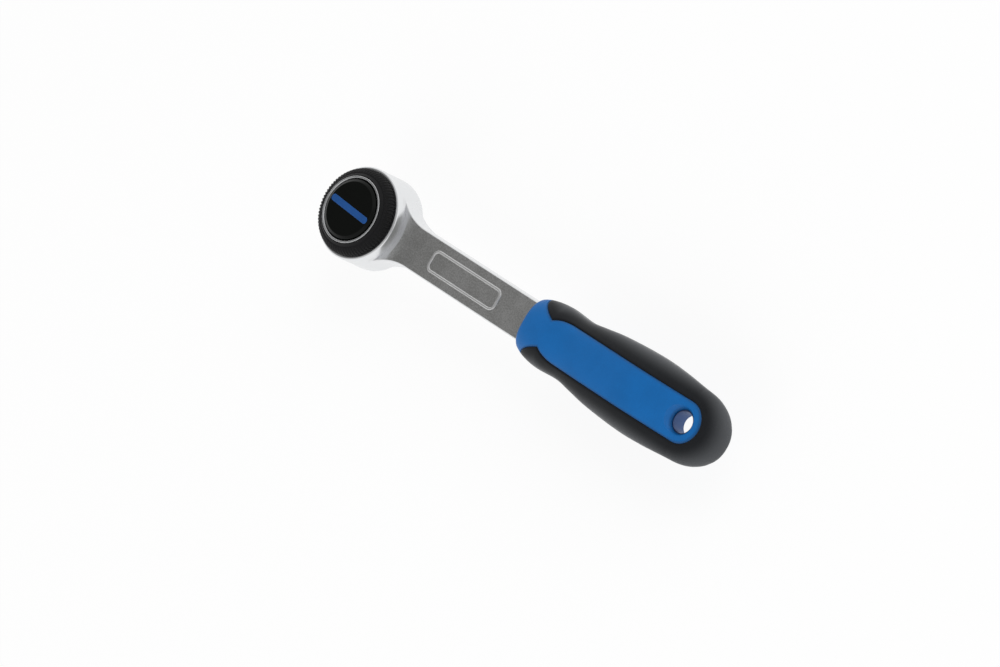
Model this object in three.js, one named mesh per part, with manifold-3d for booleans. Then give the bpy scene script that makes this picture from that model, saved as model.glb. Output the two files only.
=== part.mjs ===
// Reversible ratchet with a 6.3 mm drive square and a two-part plastic grip.
// Millimetres, +Z up. The origin is the middle of the drive square's end face, and the handle runs along +X.

import * as THREE from 'three';
import { mergeVertices } from 'three/addons/utils/BufferGeometryUtils.js';
import Module from 'manifold-3d';

// Drive square and hub
const SQUARE_WIDTH = 6.3;
const SQUARE_LENGTH = 7.5;
const SQUARE_CORNER = 0.45;
const SQUARE_LEAD = 0.6;
const HUB_RADIUS = 5.1;
const HUB_STANDOFF = 0.5;

// Clearances
const RUNNING_GAP = 0.1;
const SLIDE_GAP = 0.2;
const SEAT_GAP = 0.3;
const MOULD_GAP = 0.3;

// How far a cutting tool reaches past the face that it opens
const OVERCUT = 1;

// Carrier disc of the drive and the tooth ring around it
const CARRIER_RADIUS = 8.8;
const CARRIER_FLOOR = 1.1;
const CARRIER_GAP = 0.35;
const TOOTH_COUNT = 36;
const TOOTH_DEPTH = 0.95;

// Head of the body
const HEAD_FLOOR = 2;
const HEAD_WALL = 2.2;
const HEAD_LIP = 2.7;
const HEAD_BOTTOM_ROUND = 2.4;
const HEAD_TOP_CHAMFER = 0.65;
const PLATE_LEDGE = 0.65;

// Pawls, their pins and springs. Angles are seen from above, for the pawl on the +Y side.
const PAWL_THICKNESS = 3.7;
const PIVOT_INSET = 2.05;
const PIVOT_ANGLE = 22;
const PAWL_TIP_ANGLE = 70;
const PAWL_LIFT = 12;
const PAWL_OVERSWING = 2;
const HEEL_RADIUS = 1.35;
const PAWL_PIN_RADIUS = 0.8;
const TIP_CLEARANCE = 0.35;
const TIP_FLAT = 0.22;
const TIP_HALF_ANGLE = 30;
const NOSE_THICKNESS = 1.5;
const SHOULDER_GAP = 0.22;
const STUD_REACH = 4.2;
const STUD_RADIUS = 0.6;
const PAWL_SPRING_RADIUS = 0.8;
const PAWL_SPRING_WIRE = 0.16;
const PAWL_SPRING_TURNS = 2.5;
const PAWL_SPRING_REACH = 4;
const PAWL_SPRING_LENGTH = 2.8;

// Cam plate, its travel, the leaf that holds it and the snap ring above it
const PLATE_THICKNESS = 1.5;
const PLATE_HOLE_RADIUS = 3.3;
const REVERSER_TRAVEL = 30;
const WASHER_THICKNESS = 0.4;
const DETENT_INSET = 2.6;
const DETENT_WIDTH = 2;
const DETENT_HALF_LENGTH = 2.4;
const DETENT_CROWN = 0.45;
const DETENT_THICKNESS = 0.22;
const DETENT_SEAT_DEPTH = 0.9;
const SNAP_RING_THICKNESS = 0.8;
const SNAP_RING_WIDTH = 1.4;
const SNAP_RING_OPENING = 40;
const PLATE_HOLD = 0.6;

// Reversing ring
const RING_HEIGHT = 3.3;
const RING_INSET = 0.8;
const RING_FACE_RADIUS = 10.2;
const RING_FACE_DROP = 0.7;
const RING_CROWN = 2.4;
const RIDGE_COUNT = 60;
const RIDGE_DEPTH = 0.28;
const SPIGOT_WALL = 0.75;
const SPIGOT_FLOOR = 1.8;
const SCREW_RADIUS = 0.7;
const SCREW_HEAD_RADIUS = 1.3;
const SCREW_HEAD_HEIGHT = 0.8;
const SCREW_CIRCLE = 6.5;
const SCREW_BITE = 1.4;
const SCREW_ANGLES = [-15, 105, 225];

// Push button, trim ring and quick release
const BUTTON_TRAVEL = 2;
const BUTTON_FLANGE = 1.1;
const BUTTON_PROUD = 0.55;
const BUTTON_BEVEL = 0.75;
const BUTTON_BEVEL_HEIGHT = 0.45;
const BUTTON_SKIN = 1.3;
const TRIM_WIDTH = 0.86;
const TRIM_LIP = 0.35;
const TRIM_PROUD = 0.05;
const INLAY_LENGTH = 14.6;
const INLAY_WIDTH = 1.9;
const INLAY_DEPTH = 0.5;
const INLAY_TURN = -4;
const RELEASE_PIN_RADIUS = 1.3;
const RELEASE_PIN_NECK = 0.7;
const RELEASE_PIN_END = 3;
const BORE_END = 0.8;
const BALL_RADIUS = 1.1;
const BALL_HEIGHT = 4;
const BALL_PROUD = 0.5;
const BALL_LIP = 0.3;
const RELEASE_SPRING_RADIUS = 2.5;
const RELEASE_SPRING_WIRE = 0.28;
const RELEASE_SPRING_TURNS = 6;
const RELEASE_SPRING_SEAT = 13;

// Shank and tang
const SHANK_WIDTH = 11.4;
const SHANK_THICKNESS = 6.8;
const SHANK_LIFT = 2.8;
const SHANK_SEAT = 2;
const FLARE_RADIUS = 18;
const HEAD_FILLET = 1.3;
const FRAME_START = 26.6;
const FRAME_END = 52.4;
const FRAME_WIDTH = 5.6;
const FRAME_LINE = 0.9;
const FRAME_HEIGHT = 0.2;
const FRAME_CORNER = 1.6;
const TANG_WIDTH = 9;
const TANG_THICKNESS = 5;
const EYE_RADIUS = 5;
const HOLE_RADIUS = 2.95;
const HOLE_SETBACK = 0.05;

// Grip: its start, its length up to the round end, and its largest width and thickness
const GRIP_START = 64.3;
const GRIP_LENGTH = 58.2;
const GRIP_WIDTH = 22.3;
const GRIP_THICKNESS = 13.6;
const GRIP_END_LENGTH = 13.7;
const GRIP_POWER = 2.6;
const SOFT_THICKNESS = 2;
const FUNNEL_RADIUS = 3.95;

// Where the grip's width and thickness change, as shares of its length, width and thickness
const GRIP_STATIONS = [
  { along: 0, width: 0.646, thickness: 0.853 },
  { along: 0.044, width: 0.74, thickness: 0.897 },
  { along: 0.092, width: 0.794, thickness: 0.926 },
  { along: 0.147, width: 0.816, thickness: 0.941 },
  { along: 0.28, width: 0.785, thickness: 0.919 },
  { along: 0.374, width: 0.852, thickness: 0.941 },
  { along: 0.475, width: 0.928, thickness: 0.971 },
  { along: 0.708, width: 1, thickness: 1 },
  { along: 0.841, width: 0.978, thickness: 0.838 },
  { along: 1, width: 0.905, thickness: 0.53 },
];

// Plan outline of the blue core between the soft sides: a collar, two hollows for the soft lobes and a strip
const COLLAR_LENGTH = 2.3;
const LOBE_LENGTH = 6.5;
const LOBE_WIDTH = 17.4;
const LOBE_TURN = 0.26;
const PINCH_WIDTH = 8;
const SHOULDER_LENGTH = 7.1;
const SHOULDER_TURN = 0.35;
const STRIP_WIDTH = 11.6;

// Facets
const HEAD_FACETS = 48;
const SMALL_FACETS = 16;
const GRIP_FACETS = 20;
const SPLINE_STEPS = 15;

const DEGREE = Math.PI / 180;
const UP = new THREE.Vector3(0, 0, 1);

// Levels along the drive axis, from the end of the square upward
const headBottom = SQUARE_LENGTH + HUB_STANDOFF;
const cavityFloor = headBottom + HEAD_FLOOR;
const carrierBottom = cavityFloor + WASHER_THICKNESS + RUNNING_GAP;
const pocketFloor = carrierBottom + CARRIER_FLOOR;
const pawlBottom = pocketFloor + RUNNING_GAP;
const pawlTop = pawlBottom + PAWL_THICKNESS;
const carrierTop = pawlTop + SLIDE_GAP;
const ledgeLevel = carrierTop + SLIDE_GAP;
const plateBottom = ledgeLevel + RUNNING_GAP;
const plateTop = plateBottom + PLATE_THICKNESS;
const snapRingBottom = plateTop + SLIDE_GAP;
const snapRingTop = snapRingBottom + SNAP_RING_THICKNESS;
const headTop = snapRingTop + RUNNING_GAP + HEAD_LIP;
const ringBottom = headTop + SLIDE_GAP;
const ringTop = ringBottom + RING_HEIGHT;
const wellFloor = plateTop + SPIGOT_FLOOR;
const flangeBottom = wellFloor + SEAT_GAP + BUTTON_TRAVEL;
const flangeTop = flangeBottom + BUTTON_FLANGE;
const trimBottom = flangeTop + SLIDE_GAP;
const trimTop = ringTop + TRIM_PROUD;
const buttonTop = ringTop + BUTTON_PROUD;
const shankBottom = headBottom + SHANK_LIFT;
const shankTop = shankBottom + SHANK_THICKNESS;
const gripLevel = (shankBottom + shankTop) / 2;

// Radii about the drive axis, from the carrier outward and then back in to the button
const toothTip = CARRIER_RADIUS + CARRIER_GAP;
const toothRoot = toothTip + TOOTH_DEPTH;
const counterbore = toothRoot + PLATE_LEDGE;
const headRadius = counterbore + HEAD_WALL;
const plateRadius = counterbore - SLIDE_GAP;
const detentRadius = CARRIER_RADIUS - DETENT_INSET;
const snapRingInner = plateRadius - PLATE_HOLD;
const snapRingOuter = snapRingInner + SNAP_RING_WIDTH;
const spigotRadius = snapRingInner - SLIDE_GAP;
const wellRadius = spigotRadius - SPIGOT_WALL;
const flangeRadius = wellRadius - SLIDE_GAP;
const trimInner = flangeRadius - TRIM_LIP;
const trimOuter = trimInner + TRIM_WIDTH;
const buttonRadius = trimInner - SLIDE_GAP;
const ringRadius = headRadius - RING_INSET;
const pinBore = RELEASE_PIN_RADIUS + SLIDE_GAP;
const springBore = RELEASE_SPRING_RADIUS + SEAT_GAP;
const ballReach = SQUARE_WIDTH / 2 + BALL_PROUD - BALL_RADIUS;

// Places along the handle
const shankEnd = GRIP_START + SHANK_SEAT;
const gripEnd = GRIP_START + GRIP_LENGTH;
const holeX = gripEnd - HOLE_SETBACK;
const lobeStart = GRIP_START + COLLAR_LENGTH;
const pinchX = lobeStart + LOBE_LENGTH;
const shoulderX = pinchX + SHOULDER_LENGTH;

// Colours and finishes
const FINISHES = {
  satinSteel: { color: 0x828384, roughness: 0.45, metalness: 1 },
  chrome: { color: 0xd8dadb, roughness: 0.1, metalness: 1 },
  darkSteel: { color: 0x55585a, roughness: 0.4, metalness: 1 },
  springSteel: { color: 0x8c8f92, roughness: 0.3, metalness: 1 },
  blackPlastic: { color: 0x1c1c1d, roughness: 0.45, metalness: 0 },
  glossBlack: { color: 0x0c0f0c, roughness: 0.15, metalness: 0 },
  bluePlastic: { color: 0x2061a2, roughness: 0.4, metalness: 0 },
  softBlack: { color: 0x2d2f31, roughness: 0.7, metalness: 0 },
};

const wasm = await Module();
wasm.setup();

// Geometry with shared vertices, no flat triangles and faces pointing out
function closed(source) {
  const bare = source.clone();
  bare.deleteAttribute('normal');
  bare.deleteAttribute('uv');
  const merged = mergeVertices(bare, 1e-4);
  const place = merged.getAttribute('position');
  const corner = [new THREE.Vector3(), new THREE.Vector3(), new THREE.Vector3()];
  const kept = [];
  let volume = 0;
  for (let i = 0; i < merged.index.count; i += 3) {
    const face = [0, 1, 2].map((k) => merged.index.getX(i + k));
    if (new Set(face).size === 3) {
      face.forEach((vertex, k) => corner[k].fromBufferAttribute(place, vertex));
      volume += corner[0].dot(corner[1].clone().cross(corner[2]));
      kept.push(face);
    }
  }
  const faces = volume < 0 ? kept.map(([a, b, c]) => [a, c, b]) : kept;
  merged.setIndex(faces.flat());
  return merged;
}

function solidOf(geometry) {
  const whole = closed(geometry);
  const vertProperties = new Float32Array(whole.getAttribute('position').array);
  const triVerts = new Uint32Array(whole.index.array);
  return new wasm.Manifold(new wasm.Mesh({ numProp: 3, vertProperties, triVerts }));
}

function geometryOf(solid) {
  const mesh = solid.getMesh();
  const geometry = new THREE.BufferGeometry();
  geometry.setAttribute('position', new THREE.BufferAttribute(new Float32Array(mesh.vertProperties), 3));
  geometry.setIndex(Array.from(mesh.triVerts));
  return geometry;
}

function join(...geometries) {
  return geometryOf(geometries.map(solidOf).reduce((whole, next) => whole.add(next)));
}

function cut(geometry, ...tools) {
  return geometryOf(tools.map(solidOf).reduce((whole, tool) => whole.subtract(tool), solidOf(geometry)));
}

function common(first, second) {
  return geometryOf(solidOf(first).intersect(solidOf(second)));
}

// Turned piece from its profile of [radius, height] points
function turned(profile, facets = HEAD_FACETS) {
  const points = profile.map(([radius, height]) => new THREE.Vector2(radius, height));
  return closed(new THREE.LatheGeometry(points, facets).rotateX(Math.PI / 2));
}

function rod(radius, bottom, top, facets = SMALL_FACETS) {
  return turned([[0, bottom], [radius, bottom], [radius, top], [0, top]], facets);
}

function tubePiece(inner, outer, bottom, top, facets = HEAD_FACETS) {
  return turned([[inner, bottom], [outer, bottom], [outer, top], [inner, top], [inner, bottom]], facets);
}

function prism(shape, bottom, top, curveSegments = 8) {
  const flat = new THREE.ExtrudeGeometry(shape, { depth: top - bottom, bevelEnabled: false, curveSegments });
  return closed(flat.translate(0, 0, bottom));
}

function polar(radius, degrees) {
  return new THREE.Vector2(radius * Math.cos(degrees * DEGREE), radius * Math.sin(degrees * DEGREE));
}

function roundedBar(startX, endX, width, corner) {
  const half = width / 2;
  const bar = new THREE.Shape();
  bar.moveTo(startX + corner, -half);
  bar.lineTo(endX - corner, -half);
  bar.absarc(endX - corner, corner - half, corner, -Math.PI / 2, 0);
  bar.absarc(endX - corner, half - corner, corner, 0, Math.PI / 2);
  bar.absarc(startX + corner, half - corner, corner, Math.PI / 2, Math.PI);
  bar.absarc(startX + corner, corner - half, corner, Math.PI, Math.PI * 1.5);
  return bar;
}

// Round wire wound as an open helix about Z, from its lower end to its upper end
function helix(outerRadius, wireRadius, turns, bottom, top) {
  const sides = 5;
  const steps = Math.ceil(turns * 8);
  const middle = outerRadius - wireRadius;
  const climb = top - bottom - 2 * wireRadius;
  const places = [];
  const faces = [];
  for (let i = 0; i <= steps; i += 1) {
    const angle = (2 * Math.PI * turns * i) / steps;
    const out = new THREE.Vector3(Math.cos(angle), Math.sin(angle), 0);
    const centre = out.clone().multiplyScalar(middle);
    centre.z = bottom + wireRadius + (climb * i) / steps;
    for (let k = 0; k < sides; k += 1) {
      const turn = (2 * Math.PI * k) / sides;
      const edge = centre.clone().addScaledVector(out, wireRadius * Math.cos(turn));
      places.push(edge.x, edge.y, edge.z + wireRadius * Math.sin(turn));
    }
  }
  for (let i = 0; i < steps; i += 1) {
    for (let k = 0; k < sides; k += 1) {
      const a = i * sides + k;
      const b = i * sides + ((k + 1) % sides);
      faces.push(a, b, a + sides, b, b + sides, a + sides);
    }
  }
  for (let k = 1; k < sides - 1; k += 1) {
    const last = steps * sides;
    faces.push(0, k + 1, k, last, last + k, last + k + 1);
  }
  const wire = new THREE.BufferGeometry();
  wire.setAttribute('position', new THREE.Float32BufferAttribute(places, 3));
  wire.setIndex(faces);
  return closed(wire);
}

// Pawl geometry in the drive's frame, for the side of +Y or, mirrored, of -Y

const pivot = polar(CARRIER_RADIUS - PIVOT_INSET, PIVOT_ANGLE);

function nosePoint(radius, across) {
  const along = polar(1, PAWL_TIP_ANGLE);
  return new THREE.Vector2(radius * along.x - across * along.y, radius * along.y + across * along.x);
}

function tangentAngle(point, side) {
  const reach = point.clone().sub(pivot);
  return reach.angle() + side * Math.acos(HEEL_RADIUS / reach.length());
}

const shoulderRadius = toothTip - SHOULDER_GAP;
const tipRadius = toothRoot - TIP_CLEARANCE;
const shoulderHalf = TIP_FLAT / 2 + (tipRadius - shoulderRadius) * Math.tan(TIP_HALF_ANGLE * DEGREE);
const noseEnd = nosePoint(shoulderRadius - NOSE_THICKNESS, shoulderHalf);
const innerTangent = tangentAngle(noseEnd, 1);
const outerTangent = tangentAngle(nosePoint(shoulderRadius, -shoulderHalf), -1);
const innerEdge = innerTangent - Math.PI / 2;
const studDirection = nosePoint(shoulderRadius - NOSE_THICKNESS / 2, 0).sub(pivot).normalize();

// Stud place when the pawl is turned by some degrees from its engaged place
function studPlace(lift) {
  const arm = studDirection.clone().multiplyScalar(STUD_REACH);
  return arm.rotateAround(new THREE.Vector2(), lift * DEGREE).add(pivot);
}

function mirrored(points, side) {
  return points.map((point) => new THREE.Vector2(point.x, side * point.y));
}

function pawlGeometry(side) {
  const heelSteps = 14;
  const outline = [];
  for (let i = 0; i <= heelSteps; i += 1) {
    const angle = THREE.MathUtils.lerp(outerTangent, innerTangent - 2 * Math.PI, i / heelSteps);
    outline.push(new THREE.Vector2(HEEL_RADIUS, 0).rotateAround(new THREE.Vector2(), angle));
  }
  const nose = [
    noseEnd,
    nosePoint(shoulderRadius, shoulderHalf),
    nosePoint(tipRadius, TIP_FLAT / 2),
    nosePoint(tipRadius, -TIP_FLAT / 2),
    nosePoint(shoulderRadius, -shoulderHalf),
  ];
  nose.forEach((point) => outline.push(point.clone().sub(pivot)));
  const arm = studDirection.clone().multiplyScalar(STUD_REACH);
  const plate = prism(new THREE.Shape(mirrored(outline, side)), 0, PAWL_THICKNESS);
  const studTop = plateTop - SEAT_GAP - pawlBottom;
  const stud = rod(STUD_RADIUS, PAWL_THICKNESS / 2, studTop).translate(arm.x, side * arm.y, 0);
  const hole = rod(PAWL_PIN_RADIUS + RUNNING_GAP, -OVERCUT, PAWL_THICKNESS + OVERCUT);
  return cut(join(plate, stud), hole);
}

// Foot and direction of a pawl spring, which pushes on the pawl's inner edge
const springDirection = new THREE.Vector2(1, 0).rotateAround(
  new THREE.Vector2(),
  innerEdge - Math.PI / 2 + (PAWL_LIFT / 2) * DEGREE,
);
const springContact = new THREE.Vector2(PAWL_SPRING_REACH, 0)
  .rotateAround(new THREE.Vector2(), innerEdge)
  .add(new THREE.Vector2(HEEL_RADIUS, 0).rotateAround(new THREE.Vector2(), innerTangent))
  .add(pivot);
const springFoot = springContact.clone().addScaledVector(springDirection, -PAWL_SPRING_LENGTH);

// Distance from the spring's foot to the pawl's inner edge, with the pawl turned by some degrees
function springRoom(lift) {
  const tangent = innerTangent + lift * DEGREE;
  const normal = new THREE.Vector2(-Math.cos(tangent), -Math.sin(tangent));
  const onEdge = pivot.clone().addScaledVector(normal, -HEEL_RADIUS);
  return onEdge.sub(springFoot).dot(normal) / springDirection.dot(normal);
}

// Turns a piece along Z so that it lies along a pawl spring's line
function alongSpring(geometry, side) {
  const direction = new THREE.Vector3(springDirection.x, side * springDirection.y, 0);
  const turn = new THREE.Quaternion().setFromUnitVectors(UP, direction);
  const foot = new THREE.Vector3(springFoot.x, side * springFoot.y, pawlBottom + PAWL_THICKNESS / 2);
  return geometry.applyQuaternion(turn).translate(foot.x, foot.y, foot.z);
}

// Room that a pawl sweeps, open to the rim of the carrier
function pawlPocket(side) {
  const swing = (PAWL_LIFT + PAWL_OVERSWING) * DEGREE;
  const seat = HEEL_RADIUS + RUNNING_GAP;
  const tangent = innerTangent + swing;
  const start = new THREE.Vector2(seat, 0).rotateAround(new THREE.Vector2(), tangent).add(pivot);
  const length = noseEnd.distanceTo(pivot) + SEAT_GAP;
  const end = new THREE.Vector2(length, 0).rotateAround(new THREE.Vector2(), innerEdge + swing).add(start);
  const outside = CARRIER_RADIUS + TOOTH_DEPTH;
  const endAngle = end.angle() / DEGREE;
  const outline = [start, end];
  for (const share of [0, 0.35, 0.7, 1]) {
    outline.push(polar(outside, THREE.MathUtils.lerp(endAngle, PIVOT_ANGLE, share)));
  }
  outline.push(pivot);
  const sweep = prism(new THREE.Shape(mirrored(outline, side)), pocketFloor, carrierTop + OVERCUT);
  const heel = rod(seat, pocketFloor, carrierTop + OVERCUT).translate(pivot.x, side * pivot.y, 0);
  return join(sweep, heel);
}

// Drive square with broken corners and a tapered lead
function driveSquare() {
  const half = SQUARE_WIDTH / 2;
  const flat = half - SQUARE_CORNER;
  const outline = new THREE.Shape();
  outline.moveTo(half, -flat);
  outline.lineTo(half, flat);
  outline.lineTo(flat, half);
  outline.lineTo(-flat, half);
  outline.lineTo(-half, flat);
  outline.lineTo(-half, -flat);
  outline.lineTo(-flat, -half);
  outline.lineTo(flat, -half);
  const bar = prism(outline, 0, carrierBottom + CARRIER_FLOOR / 2);
  const corner = half * Math.SQRT2;
  const lead = turned([
    [0, -SQUARE_LEAD],
    [corner - 2 * SQUARE_LEAD, -SQUARE_LEAD],
    [corner + carrierBottom, carrierBottom + SQUARE_LEAD],
    [0, carrierBottom + SQUARE_LEAD],
  ]);
  return common(bar, lead);
}

function ballHole() {
  const face = SQUARE_WIDTH / 2;
  const wide = BALL_RADIUS + RUNNING_GAP;
  const narrow = BALL_RADIUS - RUNNING_GAP;
  const end = face + OVERCUT;
  const profile = [[0, 0], [wide, 0], [wide, face - BALL_LIP], [narrow, face], [narrow, end], [0, end]];
  return turned(profile, SMALL_FACETS).rotateX(Math.PI / 2).translate(0, 0, BALL_HEIGHT);
}

function driveAnvil() {
  const hub = rod(HUB_RADIUS, SQUARE_LENGTH, carrierBottom + CARRIER_FLOOR / 2, HEAD_FACETS);
  const carrier = rod(CARRIER_RADIUS, carrierBottom, carrierTop, HEAD_FACETS);
  const bore = turned([
    [0, BORE_END],
    [pinBore, BORE_END],
    [pinBore, RELEASE_SPRING_SEAT],
    [springBore, RELEASE_SPRING_SEAT],
    [springBore, carrierTop + OVERCUT],
    [0, carrierTop + OVERCUT],
  ], SMALL_FACETS);
  const tools = [bore, ballHole()];
  for (const side of [1, -1]) {
    const pocketRadius = PAWL_SPRING_RADIUS + RUNNING_GAP;
    tools.push(pawlPocket(side));
    tools.push(rod(PAWL_PIN_RADIUS + RUNNING_GAP, carrierBottom - OVERCUT, carrierTop)
      .translate(pivot.x, side * pivot.y, 0));
    tools.push(alongSpring(rod(pocketRadius, 0, PAWL_SPRING_LENGTH), side));
  }
  const leafWidth = DETENT_WIDTH + 2 * SLIDE_GAP;
  const leafLength = 2 * (DETENT_HALF_LENGTH + SLIDE_GAP);
  const leafSeat = new THREE.BoxGeometry(leafWidth, leafLength, 2 * DETENT_SEAT_DEPTH);
  tools.push(leafSeat.translate(-detentRadius, 0, carrierTop));
  return cut(join(driveSquare(), hub, carrier), ...tools);
}

// Window in the cam plate: its outer edge pulls the stud in, and its inner edge leaves the pawl free to click
function camWindow(side) {
  const room = STUD_RADIUS + 1.5 * RUNNING_GAP;
  const engaged = studPlace(0);
  const lifted = studPlace(PAWL_LIFT);
  const near = engaged.angle() / DEGREE;
  const clear = lifted.angle() / DEGREE;
  const far = clear - REVERSER_TRAVEL;
  const spare = room / lifted.length() / DEGREE;
  const steps = 12;
  const outer = [];
  const inner = [];
  for (let i = 0; i <= steps; i += 1) {
    const angle = THREE.MathUtils.lerp(far - spare, clear + spare, i / steps);
    const share = THREE.MathUtils.clamp((angle - far) / (near - far), 0, 1);
    const reach = THREE.MathUtils.lerp(lifted.length(), engaged.length(), share);
    const placed = side * (angle + REVERSER_TRAVEL / 2) - REVERSER_TRAVEL / 2;
    outer.push(polar(reach + room, placed));
    inner.unshift(polar(lifted.length() - room, placed));
  }
  return prism(new THREE.Shape([...outer, ...inner]), plateBottom - OVERCUT, plateTop + OVERCUT);
}

function screwHole(angle, gap) {
  const seat = plateBottom + SCREW_HEAD_HEIGHT;
  const place = polar(SCREW_CIRCLE, angle);
  return turned([
    [0, plateBottom - gap],
    [SCREW_HEAD_RADIUS + gap, plateBottom - gap],
    [SCREW_HEAD_RADIUS + gap, plateBottom],
    [SCREW_RADIUS + gap, seat],
    [SCREW_RADIUS + gap, plateTop + SCREW_BITE + gap],
    [0, plateTop + SCREW_BITE + gap],
  ], SMALL_FACETS).translate(place.x, place.y, 0);
}

function detentGroove(angle) {
  const half = DETENT_CROWN + SEAT_GAP + DETENT_THICKNESS;
  const depth = DETENT_CROWN + SLIDE_GAP;
  const roof = new THREE.Shape();
  roof.moveTo(-2 * half, -depth);
  roof.lineTo(2 * half, -depth);
  roof.lineTo(0, depth);
  const length = DETENT_WIDTH + 4 * SLIDE_GAP;
  const groove = prism(roof, -length / 2, length / 2);
  groove.rotateX(Math.PI / 2).rotateZ(Math.PI / 2).translate(detentRadius, 0, plateBottom);
  return groove.rotateZ(angle * DEGREE);
}

function camPlate() {
  const disc = tubePiece(PLATE_HOLE_RADIUS, plateRadius, plateBottom, plateTop);
  const grooves = [180, 180 - REVERSER_TRAVEL].map(detentGroove);
  const holes = SCREW_ANGLES.map((angle) => screwHole(angle, RUNNING_GAP));
  return cut(disc, camWindow(1), camWindow(-1), ...grooves, ...holes);
}

// Bent leaf with two feet and a crown that drops into a groove of the cam plate
function detentSpring() {
  const seat = carrierTop - DETENT_SEAT_DEPTH;
  const crown = plateBottom + DETENT_CROWN;
  const hip = plateBottom - RUNNING_GAP - DETENT_THICKNESS;
  const line = [
    [-DETENT_HALF_LENGTH, seat + DETENT_THICKNESS],
    [-DETENT_CROWN - DETENT_THICKNESS, hip],
    [0, crown],
    [DETENT_CROWN + DETENT_THICKNESS, hip],
    [DETENT_HALF_LENGTH, seat + DETENT_THICKNESS],
  ];
  const over = line.map(([y, z]) => new THREE.Vector2(y, z));
  const under = line.map(([y, z]) => new THREE.Vector2(y, z - DETENT_THICKNESS)).reverse();
  const leaf = prism(new THREE.Shape([...over, ...under]), -DETENT_WIDTH / 2, DETENT_WIDTH / 2);
  return leaf.rotateX(Math.PI / 2).rotateZ(Math.PI / 2).translate(-detentRadius, 0, 0);
}

function snapRing() {
  const from = (SNAP_RING_OPENING / 2) * DEGREE;
  const to = 2 * Math.PI - from;
  const outline = new THREE.Shape();
  outline.absarc(0, 0, snapRingOuter, from, to, false);
  outline.absarc(0, 0, snapRingInner, to, from, true);
  return prism(outline, snapRingBottom, snapRingTop, HEAD_FACETS / 2);
}

function ringScrew(angle) {
  const place = polar(SCREW_CIRCLE, angle);
  const recess = rod(SCREW_RADIUS, plateBottom - OVERCUT, plateBottom + SCREW_HEAD_HEIGHT / 2, 6);
  return cut(screwHole(angle, 0), recess.translate(place.x, place.y, 0));
}

// Ring with ridges on its rounded side, a well for the button and a spigot that reaches the cam plate
function reversingRing() {
  const trimSeat = trimOuter + RUNNING_GAP;
  const side = ringRadius - RING_FACE_RADIUS;
  const crownSteps = 4;
  const profile = [[PLATE_HOLE_RADIUS, plateTop], [spigotRadius, plateTop], [spigotRadius, ringBottom]];
  profile.push([ringRadius, ringBottom]);
  for (let i = 0; i <= crownSteps; i += 1) {
    const angle = (Math.PI / 2) * (i / crownSteps);
    const level = ringTop - RING_FACE_DROP - RING_CROWN * (1 - Math.sin(angle));
    profile.push([RING_FACE_RADIUS + side * Math.cos(angle), level]);
  }
  profile.push([trimSeat, ringTop], [trimSeat, trimBottom], [wellRadius, trimBottom]);
  profile.push([wellRadius, wellFloor], [PLATE_HOLE_RADIUS, wellFloor], [PLATE_HOLE_RADIUS, plateTop]);
  const ridges = [];
  for (let i = 0; i < 2 * RIDGE_COUNT; i += 1) {
    ridges.push(polar(i % 2 ? ringRadius - RIDGE_DEPTH : ringRadius, (180 * i) / RIDGE_COUNT));
  }
  const ridged = prism(new THREE.Shape(ridges), plateTop - OVERCUT, ringTop + OVERCUT);
  const holes = SCREW_ANGLES.map((angle) => screwHole(angle, RUNNING_GAP));
  return cut(common(turned(profile), ridged), ...holes);
}

function trimRing() {
  const edge = TRIM_WIDTH / 4;
  return turned([
    [trimInner, trimBottom],
    [trimOuter, trimBottom],
    [trimOuter, trimTop - edge],
    [trimOuter - edge, trimTop],
    [trimInner + edge, trimTop],
    [trimInner, trimTop - edge],
    [trimInner, trimBottom],
  ]);
}

// Bar in the button's face, or with a gap its slot, from the slot's floor up to some level
function inlayBar(gap, top) {
  const half = INLAY_LENGTH / 2 + gap;
  const width = INLAY_WIDTH + 2 * gap;
  const shape = roundedBar(-half, half, width, width / 2 - gap);
  return prism(shape, buttonTop - INLAY_DEPTH, top).rotateZ(INLAY_TURN * DEGREE);
}

function releaseButton() {
  const boss = springBore + SEAT_GAP;
  const hollow = buttonTop - BUTTON_SKIN;
  const shell = turned([
    [0, flangeBottom],
    [boss, flangeBottom],
    [boss, hollow],
    [buttonRadius - BUTTON_SKIN, hollow],
    [buttonRadius - BUTTON_SKIN, flangeBottom],
    [flangeRadius, flangeBottom],
    [flangeRadius, flangeTop],
    [buttonRadius, flangeTop],
    [buttonRadius, buttonTop - BUTTON_BEVEL_HEIGHT],
    [buttonRadius - BUTTON_BEVEL, buttonTop],
    [0, buttonTop],
  ]);
  const socket = rod(RELEASE_PIN_RADIUS + RUNNING_GAP, flangeBottom - OVERCUT, flangeTop);
  return cut(shell, socket, inlayBar(RUNNING_GAP, buttonTop + OVERCUT));
}

function releasePin() {
  const cone = BALL_HEIGHT + BUTTON_TRAVEL;
  const widen = cone + BUTTON_TRAVEL;
  return turned([
    [0, RELEASE_PIN_END],
    [RELEASE_PIN_RADIUS, RELEASE_PIN_END],
    [RELEASE_PIN_RADIUS, BALL_HEIGHT],
    [RELEASE_PIN_NECK, cone],
    [RELEASE_PIN_NECK, widen],
    [RELEASE_PIN_RADIUS, widen + RELEASE_PIN_RADIUS - RELEASE_PIN_NECK],
    [RELEASE_PIN_RADIUS, flangeTop],
    [0, flangeTop],
  ], SMALL_FACETS);
}

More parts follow.
